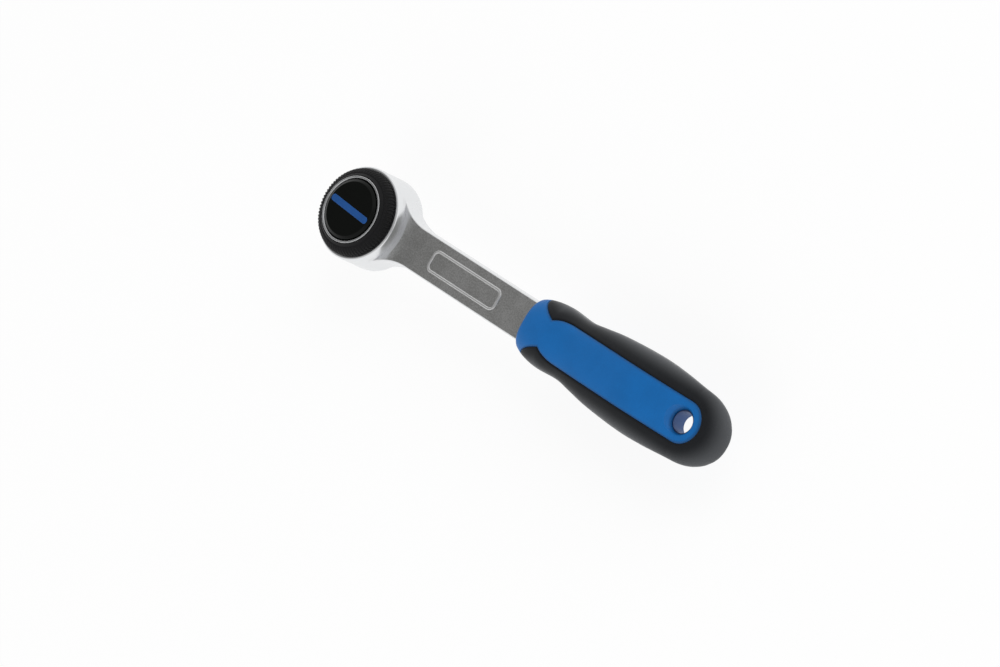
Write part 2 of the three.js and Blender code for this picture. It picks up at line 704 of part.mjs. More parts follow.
// Half outline of the shank in plan, flared to meet the head, mirrored about X
function shankShape(endX, halfWidth) {
  const centreY = halfWidth + FLARE_RADIUS;
  const centreX = Math.sqrt((headRadius + FLARE_RADIUS) ** 2 - centreY ** 2);
  const meet = new THREE.Vector2(centreX, centreY).setLength(headRadius);
  const start = Math.atan2(meet.y - centreY, meet.x - centreX);
  const shape = new THREE.Shape();
  shape.moveTo(0, meet.y);
  shape.absarc(centreX, centreY, FLARE_RADIUS, start, -Math.PI / 2, false);
  shape.lineTo(endX, halfWidth);
  shape.lineTo(endX, -halfWidth);
  shape.absarc(centreX, -centreY, FLARE_RADIUS, Math.PI / 2, -start, false);
  shape.lineTo(0, -meet.y);
  return shape;
}

// Tang with a round eye at its end
function tangShape(grow) {
  const half = TANG_WIDTH / 2 + grow;
  const eye = EYE_RADIUS + grow;
  const spread = Math.asin(half / eye);
  const shape = new THREE.Shape();
  shape.moveTo(shankEnd - TANG_WIDTH, half);
  shape.lineTo(shankEnd - TANG_WIDTH, -half);
  shape.absarc(holeX, 0, eye, spread - Math.PI, Math.PI - spread, false);
  return shape;
}

function headSolid() {
  const profile = [[0, headBottom]];
  const steps = 5;
  for (let i = 0; i <= steps; i += 1) {
    const angle = (Math.PI / 2) * (i / steps);
    const round = HEAD_BOTTOM_ROUND;
    profile.push([headRadius - round * (1 - Math.sin(angle)), headBottom + round * (1 - Math.cos(angle))]);
  }
  profile.push([headRadius, headTop - HEAD_TOP_CHAMFER]);
  profile.push([headRadius - HEAD_TOP_CHAMFER, headTop]);
  profile.push([0, headTop]);
  return turned(profile);
}

function headFillet() {
  const inside = headRadius - HEAD_FILLET;
  const profile = [[inside, shankTop - HEAD_FILLET], [headRadius + HEAD_FILLET, shankTop - HEAD_FILLET]];
  const steps = 4;
  for (let i = 0; i <= steps; i += 1) {
    const angle = (Math.PI / 2) * (i / steps);
    const across = HEAD_FILLET * (1 - Math.sin(angle));
    profile.push([headRadius + across, shankTop + HEAD_FILLET * (1 - Math.cos(angle))]);
  }
  profile.push([inside, shankTop + HEAD_FILLET], [inside, shankTop - HEAD_FILLET]);
  const within = prism(shankShape(shankEnd, SHANK_WIDTH / 2), shankBottom, shankTop + HEAD_FILLET);
  return common(turned(profile), within);
}

function toothRing() {
  const outline = [];
  for (let i = 0; i < 2 * TOOTH_COUNT; i += 1) {
    outline.push(polar(i % 2 ? toothTip : toothRoot, (180 * i) / TOOTH_COUNT));
  }
  return prism(new THREE.Shape(outline), cavityFloor, headTop);
}

function headCavity() {
  const grooveRadius = snapRingOuter + SLIDE_GAP;
  return turned([
    [0, headBottom - OVERCUT],
    [HUB_RADIUS + RUNNING_GAP, headBottom - OVERCUT],
    [HUB_RADIUS + RUNNING_GAP, ledgeLevel],
    [counterbore, ledgeLevel],
    [counterbore, snapRingBottom - RUNNING_GAP],
    [grooveRadius, snapRingBottom - RUNNING_GAP],
    [grooveRadius, snapRingTop + RUNNING_GAP],
    [counterbore, snapRingTop + RUNNING_GAP],
    [counterbore, headTop + OVERCUT],
    [0, headTop + OVERCUT],
  ]);
}

function shankFrame() {
  const outline = roundedBar(FRAME_START, FRAME_END, FRAME_WIDTH, FRAME_CORNER);
  const inner = roundedBar(
    FRAME_START + FRAME_LINE,
    FRAME_END - FRAME_LINE,
    FRAME_WIDTH - 2 * FRAME_LINE,
    FRAME_CORNER - FRAME_LINE,
  );
  outline.holes.push(inner);
  return prism(outline, shankTop - FRAME_HEIGHT, shankTop + FRAME_HEIGHT, 5);
}

function ratchetBody() {
  const shank = prism(shankShape(shankEnd, SHANK_WIDTH / 2), shankBottom, shankTop);
  const tangHalf = TANG_THICKNESS / 2;
  const tang = prism(tangShape(0), gripLevel - tangHalf, gripLevel + tangHalf);
  const hole = rod(HOLE_RADIUS, shankBottom, shankTop, 32).translate(holeX, 0, 0);
  return cut(join(headSolid(), shank, headFillet(), tang, shankFrame()), headCavity(), toothRing(), hole);
}

// Outer form of the grip, or the same form drawn in by an inset
function gripForm(inset) {
  const points = GRIP_STATIONS.map(({ along, width, thickness }) => new THREE.Vector3(
    GRIP_START + along * GRIP_LENGTH,
    (width * GRIP_WIDTH) / 2,
    (thickness * GRIP_THICKNESS) / 2,
  ));
  const curve = new THREE.CatmullRomCurve3(points, false, 'centripetal');
  const last = points[points.length - 1];
  const sections = curve.getPoints(SPLINE_STEPS).map((point) => [point.x, point.y, point.z]);
  sections[0][0] += inset;
  const endSteps = 5;
  for (let i = 1; i < endSteps; i += 1) {
    const angle = (Math.PI / 2) * (i / endSteps);
    const share = Math.cos(angle);
    const x = last.x + (GRIP_END_LENGTH - inset) * Math.sin(angle);
    sections.push([x, inset + (last.y - inset) * share, inset + (last.z - inset) * share]);
  }
  const places = [];
  const faces = [];
  for (const [x, width, thickness] of sections) {
    for (let k = 0; k < GRIP_FACETS; k += 1) {
      const turn = (2 * Math.PI * (k + 0.5)) / GRIP_FACETS;
      const y = Math.sign(Math.cos(turn)) * Math.abs(Math.cos(turn)) ** (2 / GRIP_POWER);
      const z = Math.sign(Math.sin(turn)) * Math.abs(Math.sin(turn)) ** (2 / GRIP_POWER);
      places.push(x, y * (width - inset), gripLevel + z * (thickness - inset));
    }
  }
  const front = places.length / 3;
  places.push(sections[0][0], 0, gripLevel, last.x + GRIP_END_LENGTH - inset, 0, gripLevel);
  const lastRing = (sections.length - 1) * GRIP_FACETS;
  for (let k = 0; k < GRIP_FACETS; k += 1) {
    const next = (k + 1) % GRIP_FACETS;
    for (let ring = 0; ring < lastRing; ring += GRIP_FACETS) {
      const after = ring + GRIP_FACETS;
      faces.push(ring + k, ring + next, after + k, ring + next, after + next, after + k);
    }
    faces.push(front, next, k, front + 1, lastRing + k, lastRing + next);
  }
  const form = new THREE.BufferGeometry();
  form.setAttribute('position', new THREE.Float32BufferAttribute(places, 3));
  form.setIndex(faces);
  return closed(form);
}

// Column through the grip with the plan outline of the blue core, made wider all round by a gap
function corePlan(gap) {
  const wide = GRIP_WIDTH;
  const strip = STRIP_WIDTH / 2 + gap;
  const pinch = PINCH_WIDTH / 2 + gap;
  const lobe = lobeStart + gap;
  const front = GRIP_START - SOFT_THICKNESS;
  const lobeBend = lobe + LOBE_TURN * LOBE_LENGTH;
  const shoulderBend = pinchX + SHOULDER_TURN * SHOULDER_LENGTH;
  const lobeEdge = LOBE_WIDTH / 2;
  const shape = new THREE.Shape();
  shape.moveTo(front, wide);
  shape.lineTo(front, -wide);
  shape.lineTo(lobe, -wide);
  shape.lineTo(lobe, -lobeEdge);
  shape.quadraticCurveTo(lobeBend, -strip, pinchX, -pinch);
  shape.quadraticCurveTo(shoulderBend, -strip, shoulderX, -strip);
  shape.absarc(holeX, 0, strip, -Math.PI / 2, Math.PI / 2, false);
  shape.lineTo(shoulderX, strip);
  shape.quadraticCurveTo(shoulderBend, strip, pinchX, pinch);
  shape.quadraticCurveTo(lobeBend, strip, lobe, lobeEdge);
  shape.lineTo(lobe, wide);
  const reach = 2 * TANG_WIDTH;
  return prism(shape, gripLevel - reach, gripLevel + reach, 8);
}

// Hole through the grip, narrow at the tang's eye and dished towards both faces
function hangFunnel() {
  const neck = TANG_THICKNESS / 2 + MOULD_GAP;
  const face = (GRIP_STATIONS.at(-1).thickness * GRIP_THICKNESS) / 2;
  const narrow = HOLE_RADIUS + MOULD_GAP;
  const beyond = face + (face - neck);
  const wide = FUNNEL_RADIUS + (FUNNEL_RADIUS - narrow);
  const profile = [
    [0, -beyond],
    [wide, -beyond],
    [narrow, -neck],
    [narrow, neck],
    [wide, beyond],
    [0, beyond],
  ];
  return turned(profile, 32).translate(holeX, 0, gripLevel);
}

function handleCore() {
  const shown = common(gripForm(0), corePlan(0));
  const shankHalf = SHANK_WIDTH / 2 + MOULD_GAP;
  const endX = shankEnd + MOULD_GAP;
  const shankRoom = prism(shankShape(endX, shankHalf), shankBottom - MOULD_GAP, shankTop + MOULD_GAP);
  const tangHalf = TANG_THICKNESS / 2 + MOULD_GAP;
  const tangRoom = prism(tangShape(MOULD_GAP), gripLevel - tangHalf, gripLevel + tangHalf);
  return cut(join(shown, gripForm(SOFT_THICKNESS)), shankRoom, tangRoom, hangFunnel());
}

function softGrip() {
  return cut(gripForm(0), corePlan(MOULD_GAP), gripForm(SOFT_THICKNESS - MOULD_GAP));
}

function piece(name, geometry, finish) {
  const mesh = new THREE.Mesh(geometry, new THREE.MeshStandardMaterial(FINISHES[finish]));
  mesh.name = name;
  return mesh;
}

function groupOf(...members) {
  const group = new THREE.Group();
  group.add(...members);
  return group;
}

// A pawl stands in a group at its pivot, turned to its place at rest
function pawlGroup(name, side, lift) {
  const group = groupOf(piece(name, pawlGeometry(side), 'darkSteel'));
  group.position.set(pivot.x, side * pivot.y, pawlBottom);
  group.rotation.z = side * lift * DEGREE;
  return group;
}

function pawlSpring(side, lift) {
  const tilt = PAWL_SPRING_RADIUS * Math.tan((PAWL_LIFT / 2) * DEGREE);
  const top = springRoom(lift) - tilt - RUNNING_GAP;
  const coil = helix(PAWL_SPRING_RADIUS, PAWL_SPRING_WIRE, PAWL_SPRING_TURNS, RUNNING_GAP, top);
  return alongSpring(coil, side);
}

function driveGroup() {
  const pin = () => rod(PAWL_PIN_RADIUS, carrierBottom, pawlTop);
  const forwardPin = piece('pawl_pin_forward', pin(), 'springSteel');
  forwardPin.position.set(pivot.x, pivot.y, 0);
  const reversePin = piece('pawl_pin_reverse', pin(), 'springSteel');
  reversePin.position.set(pivot.x, -pivot.y, 0);
  return groupOf(
    piece('drive_anvil', driveAnvil(), 'chrome'),
    forwardPin,
    reversePin,
    pawlGroup('pawl_forward', 1, 0),
    pawlGroup('pawl_reverse', -1, PAWL_LIFT),
    piece('pawl_spring_forward', pawlSpring(1, 0), 'springSteel'),
    piece('pawl_spring_reverse', pawlSpring(-1, PAWL_LIFT), 'springSteel'),
    piece('detent_spring', detentSpring(), 'springSteel'),
  );
}

function reverserGroup() {
  const screws = SCREW_ANGLES.map((angle, i) => piece(`ring_screw_${i + 1}`, ringScrew(angle), 'darkSteel'));
  return groupOf(
    piece('cam_plate', camPlate(), 'darkSteel'),
    piece('reversing_ring', reversingRing(), 'blackPlastic'),
    piece('trim_ring', trimRing(), 'chrome'),
    ...screws,
  );
}

function releaseGroup() {
  const ball = piece('locking_ball', closed(new THREE.SphereGeometry(BALL_RADIUS, 16, 10)), 'chrome');
  ball.position.set(0, -ballReach, BALL_HEIGHT);
  const springTop = flangeBottom - RUNNING_GAP;
  const coil = helix(
    RELEASE_SPRING_RADIUS,
    RELEASE_SPRING_WIRE,
    RELEASE_SPRING_TURNS,
    RELEASE_SPRING_SEAT + RUNNING_GAP,
    springTop,
  );
  return groupOf(
    piece('release_button', releaseButton(), 'glossBlack'),
    piece('button_inlay', inlayBar(0, buttonTop + TRIM_PROUD), 'bluePlastic'),
    piece('release_pin', releasePin(), 'springSteel'),
    piece('release_spring', coil, 'springSteel'),
    ball,
  );
}

function frameGroup() {
  const washerTop = cavityFloor + WASHER_THICKNESS;
  const washer = tubePiece(HUB_RADIUS + SEAT_GAP, CARRIER_RADIUS, cavityFloor, washerTop);
  return groupOf(
    piece('ratchet_body', ratchetBody(), 'satinSteel'),
    piece('thrust_washer', washer, 'springSteel'),
    piece('retaining_ring', snapRing(), 'springSteel'),
    piece('handle_core', handleCore(), 'bluePlastic'),
    piece('soft_grip', softGrip(), 'softBlack'),
  );
}

const ratchet = groupOf(frameGroup(), driveGroup(), reverserGroup(), releaseGroup());

export default ratchet;
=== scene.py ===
"""Looks of a reversible ratchet with a 6.3 mm drive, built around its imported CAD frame."""

import logging
import math
from contextlib import contextmanager
from dataclasses import dataclass
from enum import Enum
from typing import Any, Callable, Iterator, Optional, Sequence, Union

import bmesh
import bpy
import numpy as np
from mathutils import Matrix, Vector


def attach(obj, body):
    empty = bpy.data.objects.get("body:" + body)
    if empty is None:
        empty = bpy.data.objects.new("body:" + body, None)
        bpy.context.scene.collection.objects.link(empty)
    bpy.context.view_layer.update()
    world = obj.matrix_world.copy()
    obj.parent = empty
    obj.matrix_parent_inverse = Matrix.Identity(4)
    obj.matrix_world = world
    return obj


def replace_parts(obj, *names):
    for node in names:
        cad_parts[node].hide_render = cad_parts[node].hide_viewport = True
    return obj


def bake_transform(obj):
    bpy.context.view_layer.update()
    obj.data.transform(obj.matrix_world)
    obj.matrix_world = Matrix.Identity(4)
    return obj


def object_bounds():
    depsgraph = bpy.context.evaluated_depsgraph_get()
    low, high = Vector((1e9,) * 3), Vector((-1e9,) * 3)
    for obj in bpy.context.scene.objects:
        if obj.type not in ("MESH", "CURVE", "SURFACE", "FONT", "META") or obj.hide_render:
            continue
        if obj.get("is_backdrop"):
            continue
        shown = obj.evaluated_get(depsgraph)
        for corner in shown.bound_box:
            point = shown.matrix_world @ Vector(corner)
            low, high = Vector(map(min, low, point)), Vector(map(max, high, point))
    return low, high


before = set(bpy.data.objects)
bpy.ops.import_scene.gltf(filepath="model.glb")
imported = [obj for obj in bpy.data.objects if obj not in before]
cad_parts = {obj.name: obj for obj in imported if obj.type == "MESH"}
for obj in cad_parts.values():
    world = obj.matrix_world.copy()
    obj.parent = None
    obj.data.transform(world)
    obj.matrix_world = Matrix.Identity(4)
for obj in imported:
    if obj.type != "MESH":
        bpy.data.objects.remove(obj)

LOG = logging.getLogger("ratchet")
MM = 0.001
SEAM = "seam"
SEAM_REACH = 0.9
MOTTLE = (0.36, 0.64)
WELD = 2e-6
FLIP_SIDE = np.array([1, -1, 1, 1])
FLIP_FACE = np.array([1, 1, -1, 1])

Value = Union["Signal", int, float]
Point = tuple[float, float]
Corner = tuple[float, float, float]
Face = tuple[int, ...]
Colour = tuple[float, float, float]
Piece = bpy.types.Object
Mesh = bpy.types.Mesh
Material = bpy.types.Material


class Body(Enum):
    """CAD bodies that the visible pieces ride on."""

    HANDLE = "handle"
    DRIVE = "drive"
    REVERSER = "reverser"
    BUTTON = "button"
    BALL = "ball"
    FORWARD_PAWL = "forward_pawl"
    REVERSE_PAWL = "reverse_pawl"


class Slot(Enum):
    """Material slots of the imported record."""

    SATIN_STEEL = "satin_steel"
    CHROME = "bright_chrome"
    SPRING_STEEL = "spring_steel"
    BLACK_PLASTIC = "black_plastic"
    GLOSS_BLACK = "gloss_black"
    BLUE_PLASTIC = "blue_plastic"
    SOFT_BLACK = "soft_black"


class Cut(Enum):
    """Ways to combine two solids."""

    JOIN = "UNION"
    CARVE = "DIFFERENCE"
    COMMON = "INTERSECT"


def linear(red: int, green: int, blue: int) -> Colour:
    """Turns a display colour into scene values.

    Args:
        red: Red from 0 to 255.
        green: Green from 0 to 255.
        blue: Blue from 0 to 255.

    Returns:
        The colour in linear light.
    """
    shares = [channel / 255 for channel in (red, green, blue)]
    return tuple(s / 12.92 if s <= 0.04045 else ((s + 0.055) / 1.055) ** 2.4 for s in shares)


def scaled(colour: Colour, share: float) -> Colour:
    """A colour times a share."""
    return tuple(share * channel for channel in colour)


class Signal:
    """Value on a node's output, with operators that add Math nodes."""

    def __init__(self, bench: "Bench", socket: bpy.types.NodeSocket) -> None:
        """Wraps a socket of a bench's tree."""
        self.bench = bench
        self.socket = socket

    def math(self, operation: str, *values: Value) -> "Signal":
        """Adds one Math node.

        Args:
            operation: The node's operation.
            values: Its inputs in order.

        Returns:
            The result.
        """
        return self.bench.node("ShaderNodeMath", {"operation": operation}, dict(enumerate(values)))

    def __add__(self, other: Value) -> "Signal":
        """Sum."""
        return self.math("ADD", self, other)

    def __sub__(self, other: Value) -> "Signal":
        """Difference."""
        return self.math("SUBTRACT", self, other)

    def __mul__(self, other: Value) -> "Signal":
        """Product."""
        return self.math("MULTIPLY", self, other)

    def __rsub__(self, other: float) -> "Signal":
        """Difference from a number."""
        return self.math("SUBTRACT", other, self)

    def __abs__(self) -> "Signal":
        """Size without sign."""
        return self.math("ABSOLUTE", self)

    __radd__ = __add__
    __rmul__ = __mul__


class Bench:
    """Node tree under construction."""

    def __init__(self, tree: bpy.types.NodeTree) -> None:
        """Starts from an empty tree."""
        self.tree = tree
        tree.nodes.clear()

    def node(
        self,
        kind: str,
        settings: Optional[dict[str, Any]] = None,
        inputs: Optional[dict[Union[int, str], Any]] = None,
        output: Union[int, str] = 0,
    ) -> Optional[Signal]:
        """Adds a node.

        Args:
            kind: The node's type.
            settings: Attributes, set first.
            inputs: Values or links by socket name or number.
            output: The socket that is returned.

        Returns:
            The chosen output, or nothing where the node has none.
        """
        made = self.tree.nodes.new(kind)
        for key, value in (settings or {}).items():
            setattr(made, key, value)
        for key, value in (inputs or {}).items():
            if isinstance(value, Signal):
                self.tree.links.new(value.socket, made.inputs[key])
            else:
                made.inputs[key].default_value = value
        return Signal(self, made.outputs[output]) if made.outputs else None

    def place(self, output: str = "Object") -> Signal:
        """Coordinates that stay with the piece."""
        return self.node("ShaderNodeTexCoord", output=output)

    def axis(self, vector: Signal, name: str) -> Signal:
        """One coordinate of a vector."""
        return self.node("ShaderNodeSeparateXYZ", None, {0: vector}, name)

    def rise(self, value: Signal, low: float, high: float) -> Signal:
        """Smooth step from 0 at low to 1 at high.

        Args:
            value: What is compared.
            low: Where the step starts.
            high: Where it ends.

        Returns:
            A value from 0 to 1.
        """
        limits = {"Value": value, "From Min": low, "From Max": high}
        return self.node("ShaderNodeMapRange", {"interpolation_type": "SMOOTHSTEP"}, limits)

    def step(self, value: Signal, start: float, width: float) -> Signal:
        """Smooth step from 0 to 1 over a width."""
        return self.rise(value, start, start + width)

    def ray(self, kind: str) -> Signal:
        """One for rays of a kind."""
        return self.node("ShaderNodeLightPath", output=f"Is {kind} Ray")

    def noise(self, size: float, detail: float = 2.0, stretch: Corner = (1, 1, 1)) -> Signal:
        """Noise on the piece's own coordinates.

        Args:
            size: Size of a grain in metres.
            detail: Number of finer layers.
            stretch: Scale along each axis.

        Returns:
            Noise around one half.
        """
        spot = self.node("ShaderNodeMapping", None, {"Vector": self.place(), "Scale": stretch})
        inputs = {"Vector": spot, "Scale": 1 / size, "Detail": detail}
        return self.node("ShaderNodeTexNoise", None, inputs)

    def blend(self, share: Signal, first: Any, second: Any) -> Signal:
        """Mixes two colours.

        Args:
            share: Share of the second colour.
            first: Colour or signal at share 0.
            second: Colour or signal at share 1.

        Returns:
            The mixed colour.
        """
        ends = [value if isinstance(value, Signal) else (*value, 1) for value in (first, second)]
        inputs = {0: share, 6: ends[0], 7: ends[1]}
        return self.node("ShaderNodeMix", {"data_type": "RGBA"}, inputs, 2)

    def bump(self, height: Signal, strength: float, depth: float) -> Signal:
        """Small relief.

        Args:
            height: Relief from 0 to 1.
            strength: Share of the relief that shows.
            depth: Depth in metres.

        Returns:
            The bent normal.
        """
        inputs = {"Strength": strength, "Distance": depth, "Height": height}
        return self.node("ShaderNodeBump", None, inputs)


def new_material(name: str) -> tuple[Material, Bench]:
    """Makes an empty material.

    Args:
        name: The material's name.

    Returns:
        The material and the bench of its tree.
    """
    material = bpy.data.materials.new(name)
    material.use_nodes = True
    return material, Bench(material.node_tree)


@dataclass(frozen=True)
class Finish:
    """Finish that ends in one Principled shader."""

    name: str

    def inputs(self, bench: Bench) -> dict[str, Any]:
        """Values and links of the shader's sockets."""
        raise NotImplementedError

    def make(self) -> Material:
        """Builds the material."""
        material, bench = new_material(self.name)
        shader = bench.node("ShaderNodeBsdfPrincipled", None, self.inputs(bench))
        bench.node("ShaderNodeOutputMaterial", None, {"Surface": shader})
        return material


@dataclass(frozen=True)
class ForgedSteel(Finish):
    """Forging with polished sides and blasted flat faces, a painted highlight on the blasted fillet
    at the shank's root and painted shade in the hanging eye.
    """

    name: str = "forged_steel"
    polished: Colour = (0.80, 0.81, 0.82)
    satin: Colour = linear(212, 212, 211)
    shadow: Colour = linear(184, 184, 182)
    # Paler colour on the raised line round the blank panel.
    raised_line_pale: Colour = linear(222, 222, 222)
    # Painted highlight on the fillet where the head rises from the shank.
    hollow: Colour = linear(234, 235, 237)
    # Painted shade, tinted by a painted reflection of the blue core, inside the hanging eye.
    bore: Colour = linear(68, 90, 132)
    polished_rough: float = 0.25
    smudge_rough: float = 0.08
    satin_rough: float = 0.34
    grain_rough: float = 0.14
    grain: float = 0.00042
    grain_share: float = 0.7
    cloud: float = 0.004
    smudge: float = 0.006
    relief: float = 0.28
    relief_depth: float = 0.00006
    flat_facing: Point = (0.9, 0.985)
    shank_from: float = 0.0128
    panel_from: float = 0.02
    panel_level: float = 0.01763
    panel_edge: float = 0.0001
    bore_from: float = 0.1
    fade: float = 0.001
    root_from: float = 0.0082
    root_fade: float = 0.0026
    root_to: float = 0.0139
    root_low: float = 0.0173
    root_high: float = 0.0187
    root_edge: float = 0.0003
    root_lip: float = 0.0002

    def inputs(self, bench: Bench) -> dict[str, Any]:
        """Values and links of the shader's sockets."""
        facing = abs(bench.axis(bench.place("Normal"), "Z"))
        along, side, level = (bench.axis(bench.place(), name) for name in "XYZ")
        reach = along * along + side * side
        reach = reach.math("SQRT", reach)
        # The fillet at the shank's root: blasted, and given the painted highlight below.
        root = bench.step(level, self.root_low, self.root_edge)
        root = root * (1 - bench.step(level, self.root_high, self.root_lip))
        root = root * bench.step(along, self.root_from, self.root_fade)
        root = root * (1 - bench.step(reach, self.root_to, self.root_edge))
        flat = bench.rise(facing, *self.flat_facing) * bench.step(along, self.shank_from, self.fade)
        line = bench.step(level, self.panel_level, self.panel_edge)
        line = line * bench.step(along, self.panel_from, self.fade)
        # The hanging eye's bore: blasted, and given the painted shade below.
        inside = bench.step(along, self.bore_from, self.fade)
        blasted = root
        for share in (flat, line, inside):
            blasted = blasted.math("MAXIMUM", blasted, share)
        grain, cloud = bench.noise(self.grain, 3), bench.noise(self.cloud, 3)
        tone = bench.rise(grain * self.grain_share + cloud * (1 - self.grain_share), *MOTTLE)
        colour = bench.blend(tone, self.shadow, self.satin)
        # Paler raised line, painted highlight on the fillet at the root, painted shade with a blue
        # reflection in the hanging eye.
        for share, patch in ((line, self.raised_line_pale), (root, self.hollow), (inside, self.bore)):
            colour = bench.blend(share, colour, patch)
        dull = self.satin_rough + self.grain_rough * grain
        bright = self.polished_rough + self.smudge_rough * bench.noise(self.smudge)
        return {
            "Base Color": bench.blend(blasted, self.polished, colour),
            "Metallic": 1.0,
            "Roughness": blasted * dull + (1 - blasted) * bright,
            "Normal": bench.bump(grain * blasted, self.relief, self.relief_depth),
        }


@dataclass(frozen=True)
class Plated(Finish):
    """Bright plating with faint wipe marks."""

    roughness: float
    colour: Colour = (0.82, 0.83, 0.84)
    marks: float = 0.06
    wear: float = 0.93
    wipe: float = 0.0012
    film: float = 0.005
    film_limits: Point = (0.4, 0.7)

    def inputs(self, bench: Bench) -> dict[str, Any]:
        """Values and links of the shader's sockets."""
        wipe = bench.noise(self.wipe, 3, (1, 1, 0.25))
        film = bench.rise(bench.noise(self.film), *self.film_limits)
        return {
            "Base Color": bench.blend(film, self.colour, scaled(self.colour, self.wear)),
            "Metallic": 1.0,
            "Roughness": self.roughness + self.marks * wipe,
        }


@dataclass(frozen=True)
class OiledSteel(Finish):
    """Ground inner steel under a film of oil."""

    colour: Colour
    roughness: float
    oil: float = 0.6
    lines: float = 0.0004
    line_rough: float = 0.16
    film: float = 0.003
    film_rough: float = 0.08
    film_limits: Point = (0.42, 0.66)
    relief: float = 0.15
    relief_depth: float = 0.00004

    def inputs(self, bench: Bench) -> dict[str, Any]:
        """Values and links of the shader's sockets."""
        lines = bench.noise(self.lines, 3, (1, 1, 6))
        film = bench.rise(bench.noise(self.film, 3), *self.film_limits)
        return {
            "Base Color": bench.blend(film, self.colour, scaled(self.colour, self.oil)),
            "Metallic": 1.0,
            "Roughness": self.roughness + self.line_rough * lines - self.film_rough * film,
            "Normal": bench.bump(lines, self.relief, self.relief_depth),
        }


@dataclass(frozen=True)
class Moulded(Finish):
    """Moulded plastic with an eroded mould's grain, and where asked painted shade beside the seam
    and a painted highlight away from it.
    """

    colour: Colour
    roughness: float
    grain: float
    relief: float
    mottle: float = 0.10
    sheen: float = 0.0
    specular: float = 0.5
    seam_shade: float = 0.0
    # Colour of a painted highlight that grows away from the seam, towards the outer rims.
    rim: Optional[Colour] = None
    sheen_spread: float = 0.22
    seam_from: float = 0.05
    rim_highlight_limits: Point = (1.4, 7.0)
    cloud: float = 0.007
    grain_rough: float = 0.14
    cloud_rough: float = 0.08
    relief_depth: float = 0.00008

    def inputs(self, bench: Bench) -> dict[str, Any]:
        """Values and links of the shader's sockets."""
        grain, cloud = bench.noise(self.grain, 3), bench.noise(self.cloud, 3)
        deep, pale = (scaled(self.colour, share) for share in (1 - self.mottle, 1 + self.mottle))
        colour = bench.blend(bench.rise(0.5 * grain + 0.5 * cloud, *MOTTLE), deep, pale)
        if self.seam_shade:
            seam = bench.node("ShaderNodeAttribute", {"attribute_name": SEAM}, None, "Fac")
            # Painted highlight: paler away from the seam.
            if self.rim:
                colour = bench.blend(bench.rise(seam, *self.rim_highlight_limits), colour, self.rim)
            near = 1 - bench.rise(seam, self.seam_from, SEAM_REACH)
            colour = bench.blend(near, colour, scaled(self.colour, 1 - self.seam_shade))
        uneven = self.grain_rough * (grain - 0.5) + self.cloud_rough * (cloud - 0.5)
        inputs = {
            "Base Color": colour,
            "Roughness": self.roughness + uneven,
            "Normal": bench.bump(grain, self.relief, self.relief_depth),
            "Specular IOR Level": self.specular,
        }
        if self.sheen:
            inputs.update({"Sheen Weight": self.sheen, "Sheen Roughness": self.sheen_spread})
        return inputs


def rounded(corners: Sequence[Corner], steps: int, closed: bool = True) -> list[Point]:
    """Rounds the corners of a path.

    Args:
        corners: Points with the radius that each corner gets.
        steps: Parts of each rounded corner.
        closed: Whether the path returns to its start.

    Returns:
        The path with arcs in place of its corners.
    """
    path: list[Point] = []
    count = len(corners)
    for i, (a, b, radius) in enumerate(corners):
        if radius <= 0 or (not closed and i in (0, count - 1)):
            path.append((a, b))
            continue
        here = Vector((a, b))
        before = (Vector(corners[i - 1][:2]) - here).normalized()
        after = (Vector(corners[(i + 1) % count][:2]) - here).normalized()
        half = before.angle(after) / 2
        reach = radius / math.tan(half)
        centre = here + (before + after).normalized() * (radius / math.sin(half))
        start = here + before * reach - centre
        turn = start.angle_signed(here + after * reach - centre)
        for swing in even(0, -turn, steps):
            spoke = start.copy()
            spoke.rotate(Matrix.Rotation(swing, 2))
            path.append(tuple(centre + spoke))
    return path


@contextmanager
def edited(mesh: Mesh) -> Iterator[bmesh.types.BMesh]:
    """Opens a mesh for editing and writes it back at the end.

    Args:
        mesh: The mesh.

    Yields:
        The mesh in its editable form.
    """
    shape = bmesh.new()
    shape.from_mesh(mesh)
    yield shape
    shape.to_mesh(mesh)
    shape.free()


def add(name: str, data: bpy.types.ID) -> Piece:
    """Puts a new object into the scene.

    Args:
        name: The object's name.
        data: Its mesh, light or camera.

    Returns:
        The object.
    """
    made = bpy.data.objects.new(name, data)
    bpy.context.scene.collection.objects.link(made)
    return made


def paint(mesh: Mesh, finish: Material) -> None:
    """Gives a mesh one material in place of its own."""
    mesh.materials.clear()
    mesh.materials.append(finish)


def even(start: float, stop: float, parts: int) -> list[float]:
    """Evenly spaced values with both ends."""
    return [start + (stop - start) * k / parts for k in range(parts + 1)]


def quads(rows: int, size: int, loop: bool, ring: bool = False, first: int = 0) -> list[Face]:
    """Faces between neighbouring rows of points.

    Args:
        rows: Number of rows.
        size: Points in a row.
        loop: Whether each row returns to its start.
        ring: Whether the last row meets the first.
        first: Number of the first point.

    Returns:
        The faces, row by row.
    """
    faces = []
    for i in range(rows if ring else rows - 1):
        here, there = first + i * size, first + (i + 1) % rows * size
        for k in range(size if loop else size - 1):
            after = (k + 1) % size
            faces.append((here + k, here + after, there + after, there + k))
    return faces


def smooth_shading(mesh: Mesh, limit: float = 32.0) -> None:
    """Smooths a mesh's shading and keeps its real edges.

    Args:
        mesh: The mesh.
        limit: Angle between faces, in degrees, past which an edge is sharp.
    """
    with edited(mesh) as shape:
        for face in shape.faces:
            face.smooth = True
        for edge in shape.edges:
            edge.smooth = len(edge.link_faces) == 2 and edge.calc_face_angle() < math.radians(limit)


